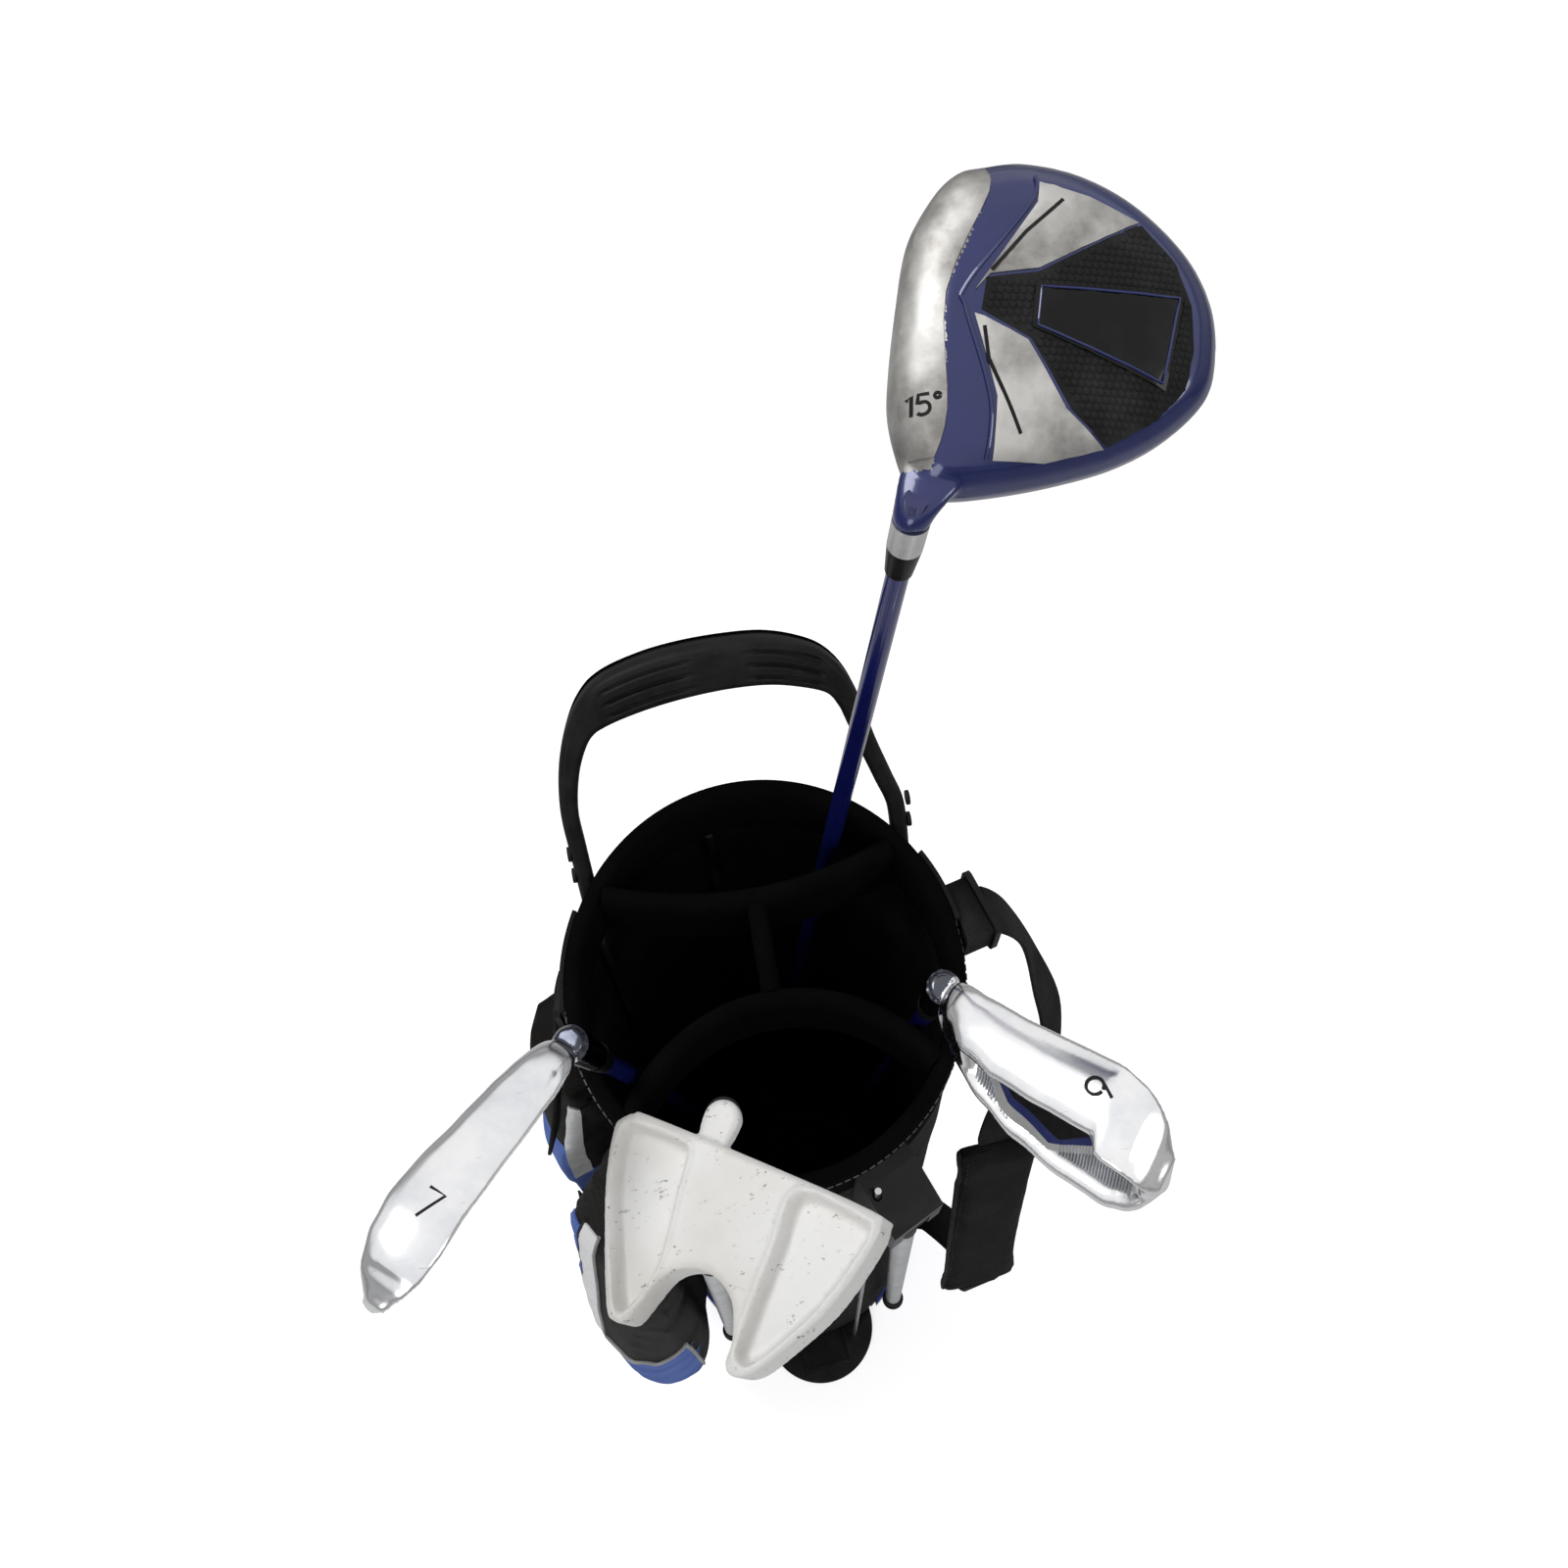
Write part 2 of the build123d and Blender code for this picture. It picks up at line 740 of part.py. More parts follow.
fold_size = (30.0, 18.0)
fold_core = collar_tube(None, glue_gap + web_wall + soft_gap, ring_low - 20, ring_high)
with BuildPart() as strap_fold:
    with BuildSketch(adjuster_spot.offset(-22)):
        Rectangle(*fold_size)
    extrude(amount=22 - adjuster_back - glue_gap)
    add(fold_core, mode=Mode.SUBTRACT)
save(strap_fold, "strap_fold")

strap_run = ribbon(
    [
        ((100.0, 20, hung(12)), (-0.24, 0.97, 0)),
        ((114, 17, hung(30)), (-0.15, 0.98, 0)),
        ((130, 8, hung(78)), (0.25, 0.96, 0)),
        ((142, -8, hung(124)), (0.6, 0.8, 0)),
        ((132, -32, hung(156)), (0.9, 0.42, 0)),
        ((110.5, -50, hung(164)), (1, 0.1, 0)),
        ((109.1, -54.1, hung(176.6)), (1, 0.08, 0)),
    ],
    26.0,
    web_wall,
)
with BuildPart() as strap_webbing:
    add(strap_run)
save(strap_webbing, "strap_webbing")

pad_run = ribbon(
    [
        ((109, -54.5, hung(178)), (1, 0.08, 0)),
        ((107, -66, hung(215)), (1, 0.08, 0)),
        ((106, -88, hung(310)), (1, 0.08, 0)),
        ((107, -103, hung(380)), (1, 0.08, 0)),
    ],
    54.0,
    13.0,
)
with BuildPart() as strap_pad:
    add(pad_run)
save(strap_pad, "strap_pad")

low_run = ribbon(
    [
        ((107.5, -105.5, hung(383.5)), (1, 0.08, 0)),
        ((116, -100, hung(418)), (0.95, 0.3, 0)),
        ((116, -72, hung(452)), (0.8, 0.6, 0)),
        ((99, -42, hung(476)), (0.5, 0.87, 0)),
        ((90.6, -31.5, hung(502)), (0.32, 0.95, 0)),
    ],
    26.0,
    web_wall,
)
with BuildPart() as strap_anchor:
    add(low_run)
    add(body_clear, mode=Mode.SUBTRACT)
save(strap_anchor, "strap_anchor")

buckle_spot = Plane(
    origin=(-102.3, 20.6, hung(28)), x_dir=(-0.23, -0.973, 0), z_dir=(-0.973, 0.23, 0)
)
with BuildPart() as left_buckle:
    with BuildSketch(buckle_spot):
        RectangleRounded(32, 28, 4)
        with Locations((0, 7), (0, -7)):
            Rectangle(25, 5, mode=Mode.SUBTRACT)
    extrude(amount=3)
save(left_buckle, "left_buckle")

tail_run = ribbon(
    [
        ((-106.8, 21.7, hung(24)), (0.23, 0.973, 0)),
        ((-112, 13, hung(44)), (0.1, 0.99, 0)),
        ((-119, -5, hung(82)), (0.2, 0.97, 0.1)),
        ((-128, -24, hung(114)), (0.3, 0.95, 0.1)),
    ],
    25.0,
    web_wall,
)
with BuildPart() as left_tail:
    add(tail_run)
save(left_tail, "left_tail")

# ---------------------------------------------------------------- clubs
# Each club stands on its grip's end.  "butt" is where its axis meets the floor pad, "collar" is where it
# passes the collar's top plane, and "toe" is the way its head points.  Distances along a club start at
# the grip's end.
clubs = {
    "driver": {
        "butt": (-31.2, 57.6), "collar": (33.5, 61.3), "toe": (0.15, 1, 0), "lie": 58.0,
        "grip": 240.0, "ferrule": (869.0, 882.0), "shaft_end": 905.0, "head": 899.0,
    },
    "iron_7": {
        "butt": (17.6, 45.1), "collar": (-79.8, -27.5), "toe": (-0.643, -0.757, 0), "lie": 62.0,
        "grip": 220.0, "ferrule": (692.0, 705.0), "shaft_end": 732.0, "head": 750.0,
    },
    "iron_9": {
        "butt": (43.5, 58.0), "collar": (58.2, -26.3), "toe": (0.74, -0.68, 0), "lie": 62.0,
        "grip": 220.0, "ferrule": (664.0, 677.0), "shaft_end": 702.0, "head": 720.0,
    },
    "putter": {
        "butt": (-43.6, 28.2), "collar": (-38.8, -59.6), "toe": (0.863, -0.533, 0), "lie": 70.0,
        "grip": 230.0, "ferrule": (676.0, 686.0), "shaft_end": 702.0, "head": 720.0,
    },
}
ferrule_radius = 6.2
hosel_radius = 6.2


def club_axis(club):
    """Plane at the grip's end, z along the shaft toward the head and x toward the toe."""
    low_x, low_y = club["butt"]
    high_x, high_y = club["collar"]
    high = Vector(high_x, high_y, collar_z(high_y))
    run = high - Vector(low_x, low_y, pad_top)
    lean_sine = hypot(run.X, run.Y) / run.length
    low = Vector(low_x, low_y, pad_top + seat_gap + grip_butt_radius * lean_sine)
    return Plane(origin=low, x_dir=Vector(*club["toe"]), z_dir=high - low)


def head_plane(club, offset=0.0):
    """Plane square to the sole's normal, x toward the toe and y toward the face."""
    axis_plane = club_axis(club)
    lie = radians(club["lie"])
    toe_way = axis_plane.z_dir * cos(lie) + axis_plane.x_dir * sin(lie)
    sole_way = axis_plane.z_dir * sin(lie) - axis_plane.x_dir * cos(lie)
    origin = axis_plane.origin + axis_plane.z_dir * club["head"] + sole_way * offset
    return Plane(origin=origin, x_dir=toe_way, z_dir=sole_way)


def shaft_radius(club, along):
    """The shaft tapers from its butt to its tip."""
    share = (along - grip_cap) / (club["shaft_end"] - grip_cap)
    return shaft_butt_radius + (shaft_tip_radius - shaft_butt_radius) * share


def tapered(club, along_from, along_to, radius_from, radius_to):
    """A round tapered solid on the club's axis."""
    axis_plane = club_axis(club)
    with BuildPart() as cone:
        with BuildSketch(axis_plane.offset(along_from)):
            Circle(radius_from)
        with BuildSketch(axis_plane.offset(along_to)):
            Circle(radius_to)
        loft()
    return cone.part


def shaft_bore(club, along_from, along_to, gap):
    """The shaft's own taper between two places, with a gap round it."""
    return tapered(
        club,
        along_from,
        along_to,
        shaft_radius(club, along_from) + gap,
        shaft_radius(club, along_to) + gap,
    )


def section_loft(club, sections):
    """A ruled loft through outlines at offsets from the head plane."""
    with BuildPart() as body:
        for offset, outline in sections:
            with BuildSketch(head_plane(club, offset)):
                with BuildLine():
                    Polyline(*outline, close=True)
                make_face()
        loft(ruled=True)
    return body.part


def save_stick(name, club):
    """The grip, shaft and ferrule that every club has."""
    ferrule_from, ferrule_to = club["ferrule"]
    grip_outside = tapered(club, 0, club["grip"], grip_butt_radius, grip_mouth_radius)
    grip_bore = shaft_bore(club, grip_cap, club["grip"] + 1, glue_gap)
    with BuildPart() as grip:
        add(grip_outside)
        add(grip_bore, mode=Mode.SUBTRACT)
    save(grip, name + "_grip")

    stick = shaft_bore(club, grip_cap + glue_gap, club["shaft_end"], 0)
    with BuildPart() as shaft:
        add(stick)
    save(shaft, name + "_shaft")

    collar = tapered(
        club, ferrule_from, ferrule_to, shaft_radius(club, ferrule_from) + 0.8, ferrule_radius
    )
    collar_bore = shaft_bore(club, ferrule_from - 1, ferrule_to + 1, glue_gap)
    with BuildPart() as ferrule:
        add(collar)
        add(collar_bore, mode=Mode.SUBTRACT)
    save(ferrule, name + "_ferrule")


for club_name, club in clubs.items():
    save_stick(club_name, club)

# driver head: a pear shape, its sole upward in the bag
driver = clubs["driver"]
driver_outline = [(4, -12), (6, -1), (15, 4), (45, 8), (85, 3), (106, -12), (111, -34), (99, -71),
                  (68, -96), (38, -96), (16, -67), (6, -32)]
driver_middle = (54.0, -40.0)
driver_sections = [(14, 0.80), (7, 0.95), (-3, 1.0), (-20, 0.90), (-33, 0.66), (-39, 0.38)]
ring_from = driver["ferrule"][1] + glue_gap
ring_to = ring_from + 12.4


def scaled_outline(outline, middle, share):
    """An outline drawn in toward a point."""
    return [(middle[0] + (x - middle[0]) * share, middle[1] + (y - middle[1]) * share) for x, y in outline]


driver_rings = [
    (offset, scaled_outline(driver_outline, driver_middle, share)) for offset, share in driver_sections
]
driver_body = section_loft(driver, driver_rings)
driver_neck = tapered(driver, ring_to + glue_gap, driver["head"] + 6, hosel_radius + 0.3, 8.5)
driver_bore = shaft_bore(driver, ring_to - 1, driver["shaft_end"] + 0.3, glue_gap)
with BuildPart() as driver_head:
    add(driver_body)
    add(driver_neck)
    add(driver_bore, mode=Mode.SUBTRACT)
save(driver_head, "driver_head")

ring_outside = tapered(driver, ring_from, ring_to, hosel_radius, hosel_radius + 0.2)
ring_bore = shaft_bore(driver, ring_from - 1, ring_to + 1, glue_gap)
with BuildPart() as driver_hosel_ring:
    add(ring_outside)
    add(ring_bore, mode=Mode.SUBTRACT)
save(driver_hosel_ring, "driver_hosel_ring")

badge_wall = 1.4
with BuildPart() as driver_badge:
    with BuildSketch(head_plane(driver, 14 + glue_gap)):
        with BuildLine():
            Polyline((68, -34), (67, -76), (38, -72), (54, -32), close=True)
        make_face()
    extrude(amount=badge_wall)
save(driver_badge, "driver_badge")


# irons: a blade with a wide sole and a thin top line, and the hosel that the shaft is set in
iron_height = 42.0


def iron_blade(name, club, sole, topline):
    """The head of an iron."""
    blade = section_loft(club, [(0, sole), (-iron_height, topline)])
    hosel = tapered(club, club["ferrule"][1] + glue_gap, club["head"] - 3, hosel_radius, 8.0)
    bore = shaft_bore(club, club["ferrule"][1], club["shaft_end"] + 0.3, glue_gap)
    with BuildPart() as iron_head:
        add(blade)
        add(hosel)
        add(bore, mode=Mode.SUBTRACT)
    save(iron_head, name + "_head")


iron_blade(
    "iron_7",
    clubs["iron_7"],
    [(4, 5), (20, 8), (70, 13), (98, 17), (111, 6), (109, -6), (92, -12), (66, -14), (30, -11), (10, -5)],
    [(4, -2), (30, -8), (60, -13), (90, -15), (101, -17), (99, -20), (90, -20), (60, -18), (30, -13),
     (8, -8)],
)
iron_blade(
    "iron_9",
    clubs["iron_9"],
    [(2, -2), (20, 0), (60, 0), (84, -2), (99, -9), (106, -24), (105, -35), (83, -31), (50, -28), (10, -18)],
    [(2, -9), (18, -20), (44, -31), (66, -38), (84, -40), (95, -36), (97, -40), (85, -46), (44, -37),
     (8, -19)],
)

# putter: a flat mallet with two tails and two open pans in its sole
putter = clubs["putter"]
putter_wall = 17.0
pan_depth = 8.0
putter_outline = [(-42, -20), (-39, -14), (-30, -11), (70, -15), (74, -19), (72, -33), (65, -53), (54, -72),
                  (46, -83), (36, -84), (35, -74), (30, -62), (20, -57), (10, -58), (2, -64), (-3, -75),
                  (-8, -84), (-15, -82), (-28, -58), (-38, -36)]
near_pan = [(-35, -22), (-31, -17), (-8, -19), (-6, -28), (-1, -64), (-8, -77), (-12, -76), (-24, -56),
            (-33, -36)]
far_pan = [(40, -21), (68, -22), (66, -34), (59, -53), (49, -68), (43, -76), (40, -76), (40, -44)]
neck_radius = 8.0

with BuildPart() as putter_body:
    with BuildSketch(head_plane(putter)):
        with BuildLine():
            Polyline(*putter_outline, close=True)
        make_face()
    extrude(amount=-putter_wall)
    for pan in (near_pan, far_pan):
        with BuildSketch(head_plane(putter)):
            with BuildLine():
                Polyline(*pan, close=True)
            make_face()
        extrude(amount=-pan_depth, mode=Mode.SUBTRACT)
    with BuildSketch(head_plane(putter, -4)):
        SlotCenterPoint((-2, -8), (-1, 0), 2 * neck_radius)
    extrude(amount=-12)

putter_neck = tapered(putter, putter["ferrule"][1] + glue_gap, putter["head"] - 8, hosel_radius, neck_radius)
putter_bore = shaft_bore(putter, putter["ferrule"][1], putter["shaft_end"] + 0.3, glue_gap)
with BuildPart() as putter_head:
    add(putter_body.part)
    add(putter_neck)
    add(putter_bore, mode=Mode.SUBTRACT)
save(putter_head, "putter_head")
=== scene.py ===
import math

import bmesh
import bpy
from mathutils import Matrix, Vector, noise
from mathutils.bvhtree import BVHTree
from mathutils.geometry import delaunay_2d_cdt


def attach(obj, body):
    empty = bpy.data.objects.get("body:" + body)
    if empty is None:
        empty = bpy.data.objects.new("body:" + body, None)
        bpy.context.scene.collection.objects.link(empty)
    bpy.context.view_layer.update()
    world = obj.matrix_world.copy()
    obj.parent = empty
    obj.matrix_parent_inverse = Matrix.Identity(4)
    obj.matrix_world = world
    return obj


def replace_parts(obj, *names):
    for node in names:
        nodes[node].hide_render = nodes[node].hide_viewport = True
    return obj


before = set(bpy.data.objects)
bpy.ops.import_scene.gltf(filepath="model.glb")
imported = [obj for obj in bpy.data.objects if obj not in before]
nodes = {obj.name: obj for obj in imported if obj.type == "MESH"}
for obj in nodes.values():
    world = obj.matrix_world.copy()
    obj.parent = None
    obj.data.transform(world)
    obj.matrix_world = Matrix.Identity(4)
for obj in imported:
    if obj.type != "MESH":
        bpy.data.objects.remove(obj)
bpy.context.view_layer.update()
mm = 0.001
print("frame loaded:", len(nodes), "nodes")


# finishes: small sets of nodes in front of one shader
def newFinish(name, colour, rough, metal=0.0, coat=0.0, sheen=0.0, coatRough=0.1, specular=0.5):
    material = bpy.data.materials.new(name)
    material.use_nodes = True
    shader = material.node_tree.nodes["Principled BSDF"]
    shader.inputs["Base Color"].default_value = (*colour, 1)
    shader.inputs["Roughness"].default_value = rough
    shader.inputs["Metallic"].default_value = metal
    shader.inputs["Coat Weight"].default_value = coat
    shader.inputs["Coat Roughness"].default_value = coatRough
    shader.inputs["Sheen Weight"].default_value = sheen
    shader.inputs["Specular IOR Level"].default_value = specular
    return material


def node(material, kind, **values):
    made = material.node_tree.nodes.new(kind)
    for key, value in values.items():
        if hasattr(made, key):
            setattr(made, key, value)
        else:
            made.inputs[key].default_value = value
    return made


def link(material, a, b):
    material.node_tree.links.new(a, b)


def coords(material, space="Object", stretch=(1, 1, 1)):
    where = node(material, "ShaderNodeTexCoord")
    turn = node(material, "ShaderNodeMapping")
    turn.inputs["Scale"].default_value = stretch
    link(material, where.outputs[space], turn.inputs["Vector"])
    return turn.outputs["Vector"]


def cloudNoise(material, vector, scale, detail=4.0, rough=0.55):
    cloud = node(material, "ShaderNodeTexNoise", Scale=scale, Detail=detail, Roughness=rough)
    link(material, vector, cloud.inputs["Vector"])
    return cloud.outputs["Fac"]


def ramp(material, factor, stops):
    made = node(material, "ShaderNodeValToRGB")
    band = made.color_ramp
    while len(band.elements) < len(stops):
        band.elements.new(0.5)
    for element, (place, colour) in zip(band.elements, stops):
        element.position = place
        element.color = (*colour, 1) if len(colour) == 3 else colour
    link(material, factor, made.inputs["Fac"])
    return made.outputs["Color"]


def maths(material, kind, a, b):
    made = node(material, "ShaderNodeMath", operation=kind)
    for number, value in enumerate((a, b)):
        if isinstance(value, (int, float)):
            made.inputs[number].default_value = value
        else:
            link(material, value, made.inputs[number])
    return made.outputs[0]


def mixColours(material, factor, a, b):
    made = node(material, "ShaderNodeMix", data_type="RGBA")
    for socket, value in ((made.inputs[0], factor), (made.inputs[6], a), (made.inputs[7], b)):
        if isinstance(value, tuple):
            socket.default_value = (*value, 1)
        elif isinstance(value, float):
            socket.default_value = value
        else:
            link(material, value, socket)
    return made.outputs[2]


def shaderOf(material):
    return material.node_tree.nodes["Principled BSDF"]


def bump(material, height, strength, distance):
    made = node(material, "ShaderNodeBump", Strength=strength, Distance=distance)
    old = shaderOf(material).inputs["Normal"]
    if old.is_linked:
        link(material, old.links[0].from_socket, made.inputs["Normal"])
    link(material, height, made.inputs["Height"])
    link(material, made.outputs["Normal"], old)


def colourIn(material, socket):
    link(material, socket, shaderOf(material).inputs["Base Color"])


def roughIn(material, factor, low, high):
    made = node(material, "ShaderNodeMapRange")
    made.inputs["To Min"].default_value = low
    made.inputs["To Max"].default_value = high
    link(material, factor, made.inputs["Value"])
    link(material, made.outputs["Result"], shaderOf(material).inputs["Roughness"])


def clothFinish(name, colour, light, threads, space="UV", depth=0.0004, rough=0.85):
    # plain weave: two sets of threads that take turns on top, with worn and dusty patches
    material = newFinish(name, colour, rough, sheen=0.015, specular=0.07)
    vector = coords(material, space)
    bands = threads / math.pi
    warp = node(material, "ShaderNodeTexWave", bands_direction="X", Scale=bands)
    weft = node(material, "ShaderNodeTexWave", bands_direction="Y" if space == "UV" else "Z", Scale=bands)
    check = node(material, "ShaderNodeTexChecker", Scale=bands * 2)
    for part in (warp, weft, check):
        link(material, vector, part.inputs["Vector"])
    weave = mixColours(material, check.outputs["Fac"], warp.outputs["Color"], weft.outputs["Color"])
    patches = cloudNoise(material, coords(material), 38.0)
    fine = cloudNoise(material, coords(material), 900.0, detail=2.0)
    shade = ramp(material, patches, [(0.35, colour), (0.7, light)])
    colourIn(material, mixColours(material, maths(material, "MULTIPLY", fine, 0.35), shade, light))
    roughIn(material, patches, rough - 0.1, min(1.0, rough + 0.08))
    bump(material, patches, 0.25, 0.002)
    bump(material, weave, 0.55, depth)
    return material


def fleeceFinish(name, colour, light):
    material = newFinish(name, colour, 0.97, sheen=0.0, specular=0.02)
    shaderOf(material).inputs["Sheen Roughness"].default_value = 0.6
    hairs = cloudNoise(material, coords(material), 1500.0, detail=3.0, rough=0.7)
    nap = cloudNoise(material, coords(material), 60.0)
    colourIn(material, mixColours(material, maths(material, "MULTIPLY", hairs, nap), colour, light))
    bump(material, nap, 0.3, 0.003)
    bump(material, hairs, 0.7, 0.0006)
    return material


def mouldedFinish(name, colour, rough, grain=2200.0, coat=0.0):
    material = newFinish(name, colour, rough, coat=coat, specular=0.16)
    grit = cloudNoise(material, coords(material), grain, detail=2.0)
    wear = cloudNoise(material, coords(material), 45.0, detail=6.0, rough=0.65)
    light = tuple(min(1.0, c * 2.2 + 0.01) for c in colour)
    colourIn(material, ramp(material, wear, [(0.45, colour), (0.8, light)]))
    roughIn(material, wear, max(0.05, rough - 0.12), min(1.0, rough + 0.15))
    bump(material, grit, 0.25, 0.0002)
    return material


def metalFinish(name, colour, dark, rough, smudge=0.3, scratches=0.15):
    # metal with smudges, a fine grain and short scratches
    material = newFinish(name, colour, rough, metal=1.0)
    vector = coords(material)
    cloud = cloudNoise(material, vector, 32.0, detail=8.0, rough=0.62)
    grain = cloudNoise(material, vector, 1400.0, detail=2.0)
    lines = cloudNoise(material, coords(material, stretch=(60, 900, 300)), 1.0, detail=3.0, rough=0.7)
    base = ramp(material, cloud, [(0.36, dark), (0.36 + smudge, colour)])
    marks = ramp(material, lines, [(0.66, (1, 1, 1)), (0.72, (1 - scratches,) * 3), (0.74, (1, 1, 1))])
    both = node(material, "ShaderNodeMix", data_type="RGBA", blend_type="MULTIPLY")
    both.inputs[0].default_value = 1.0
    link(material, base, both.inputs[6])
    link(material, marks, both.inputs[7])
    colourIn(material, both.outputs[2])
    roughIn(material, cloud, min(1.0, rough + 0.14), max(0.03, rough - 0.05))
    bump(material, grain, 0.12, 0.0001)
    bump(material, cloud, 0.04, 0.0008)
    return material


def lacquerFinish(name, colour, rough=0.22):
    # lacquer over a fine metallic flake
    material = newFinish(name, colour, rough, metal=0.15, coat=0.6, coatRough=0.05)
    flake = node(material, "ShaderNodeTexVoronoi", Scale=2600.0)
    link(material, coords(material), flake.inputs["Vector"])
    cloud = cloudNoise(material, coords(material), 26.0)
    deep = tuple(c * 0.55 for c in colour)
    shade = ramp(material, cloud, [(0.3, deep), (0.7, colour)])
    bright = tuple(min(1.0, c * 1.8) for c in colour)
    glints = maths(material, "MULTIPLY", flake.outputs["Distance"], 0.3)
    colourIn(material, mixColours(material, glints, shade, bright))
    bump(material, cloud, 0.03, 0.001)
    return material


def paintFinish(name, colour, scuff, rough):
    # satin paint with dark scuffs and faint rubbed dirt
    material = newFinish(name, colour, rough, specular=0.5, coat=0.25, coatRough=0.35)
    vector = coords(material)
    broad = cloudNoise(material, vector, 55.0, detail=8.0, rough=0.7)
    short = cloudNoise(material, coords(material, stretch=(260, 420, 150)), 1.0, detail=5.0, rough=0.75)
    dirt = cloudNoise(material, vector, 18.0, detail=5.0)
    marks = maths(material, "MULTIPLY", ramp(material, short, [(0.60, (0, 0, 0)), (0.66, (1, 1, 1))]),
                  ramp(material, broad, [(0.45, (0, 0, 0)), (0.55, (1, 1, 1))]))
    grubby = tuple(c * f for c, f in zip(colour, (0.86, 0.84, 0.80)))
    clean = ramp(material, dirt, [(0.42, colour), (0.72, grubby)])
    colourIn(material, mixColours(material, marks, clean, scuff))
    roughIn(material, dirt, rough - 0.05, rough + 0.15)
    bump(material, cloudNoise(material, vector, 700.0), 0.08, 0.0002)
    return material


fleece = fleeceFinish("blackFleece", (0.0022, 0.0022, 0.0023), (0.009, 0.009, 0.0095))
webbingBlacks = ((0.006, 0.006, 0.0065), (0.03, 0.03, 0.032))
webbingCloth = clothFinish("ribbedWebbing", *webbingBlacks, 1000, depth=0.0006)
# for the CAD nodes' webbing and zip track, which have no UV
sewnWebbing = clothFinish("sewnWebbing", *webbingBlacks, 1000, space="Object", depth=0.0006)
bagCloth = clothFinish("coatedBagCloth", (0.004, 0.004, 0.0045), (0.012, 0.012, 0.013), 1400, rough=0.7)
pocketCloth = clothFinish("blackPocketCloth", (0.005, 0.0045, 0.0042), (0.014, 0.013, 0.012), 1300,
                          space="Object", rough=0.6)
blueCloth = clothFinish("bluePocketCloth", (0.10, 0.17, 0.52), (0.16, 0.25, 0.64), 1300,
                        space="Object", rough=0.8)
padMesh = clothFinish("strapPadMesh", (0.007, 0.0065, 0.0065), (0.02, 0.019, 0.019), 900,
                      space="Object", depth=0.0007)
pipingTape = clothFinish("greyPiping", (0.34, 0.34, 0.34), (0.5, 0.5, 0.5), 1500, space="Object", rough=0.6)
bindingTape = clothFinish("brownBlackBinding", (0.02, 0.018, 0.016), (0.05, 0.045, 0.04), 1500,
                          space="Object", rough=0.7)
threadGrey = mouldedFinish("greyThread", (0.12, 0.12, 0.125), 0.7, grain=3000.0)
whiteVinyl = mouldedFinish("whiteVinyl", (0.93, 0.94, 0.95), 0.25, coat=0.6)
foam = mouldedFinish("closedFoam", (0.03, 0.03, 0.032), 0.9, grain=900.0)
mouldedBlack = mouldedFinish("mouldedBlack", (0.006, 0.006, 0.0065), 0.5)
glossBlack = mouldedFinish("glossBlack", (0.003, 0.003, 0.0033), 0.3, coat=0.12)
rubberBlack = mouldedFinish("gripRubber", (0.015, 0.015, 0.016), 0.8, grain=1200.0)
blueMoulded = mouldedFinish("blueMoulded", (0.02, 0.045, 0.30), 0.28, coat=0.4)
glassFibre = mouldedFinish("glassFibre", (0.012, 0.012, 0.012), 0.5, grain=1500.0)
greyMoulded = mouldedFinish("greyMoulded", (0.30, 0.31, 0.33), 0.35)
castSilver = metalFinish("castSilver", (0.56, 0.55, 0.53), (0.24, 0.23, 0.22), 0.5, smudge=0.26)
wornChrome = metalFinish("wornChrome", (0.95, 0.95, 0.96), (0.80, 0.81, 0.84), 0.13, smudge=0.22,
                         scratches=0.3)
# a darker copy of the chrome for the iron hosels: painted shade and a painted reflection of the dark bag on
# the necks
shadedNeckChrome = metalFinish("shadedNeckChrome", (0.10, 0.105, 0.125), (0.03, 0.035, 0.05), 0.12, smudge=0.2)
satinSilver = metalFinish("satinSilver", (0.72, 0.72, 0.72), (0.55, 0.55, 0.55), 0.3)
brightSteel = metalFinish("brightSteel", (0.6, 0.6, 0.62), (0.4, 0.4, 0.42), 0.22)
legMetal = metalFinish("legAluminium", (0.78, 0.79, 0.81), (0.6, 0.61, 0.63), 0.32)
crownBlue = lacquerFinish("crownBlue", (0.006, 0.015, 0.13))
shaftBlue = lacquerFinish("shaftBlue", (0.008, 0.012, 0.13), rough=0.18)
putterPaint = paintFinish("putterPaint", (0.86, 0.855, 0.84), (0.10, 0.095, 0.09), 0.42)
inkBlack = mouldedFinish("engravedInk", (0.01, 0.01, 0.01), 0.5)
print("finishes made")


# helpers that make meshes and pieces
def addMesh(name, verts, faces, uvs=None, sharp=40.0, recalc=True):
    mesh = bpy.data.meshes.new(name)
    work = bmesh.new()
    made = [work.verts.new(v) for v in verts]
    layer = work.loops.layers.uv.new("UVMap") if uvs else None
    for face in faces:
        if len({tuple(verts[i]) for i in face}) < 3:  # a face shrunk to a line
            continue
        new = work.faces.new([made[i] for i in face])
        new.smooth = True
        if uvs:
            for loop, i in zip(new.loops, face):
                loop[layer].uv = uvs[i]
    bmesh.ops.remove_doubles(work, verts=work.verts, dist=2e-6)
    if recalc:
        bmesh.ops.recalc_face_normals(work, faces=work.faces)
    work.to_mesh(mesh)
    work.free()
    mesh.set_sharp_from_angle(angle=math.radians(sharp))
    return mesh


def addPiece(mesh, body, material, stands=()):
    obj = bpy.data.objects.new(mesh.name, mesh)
    bpy.context.scene.collection.objects.link(obj)
    if not mesh.materials:
        mesh.materials.append(material)
    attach(obj, body)
    if stands:
        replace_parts(obj, *stands)
    return obj


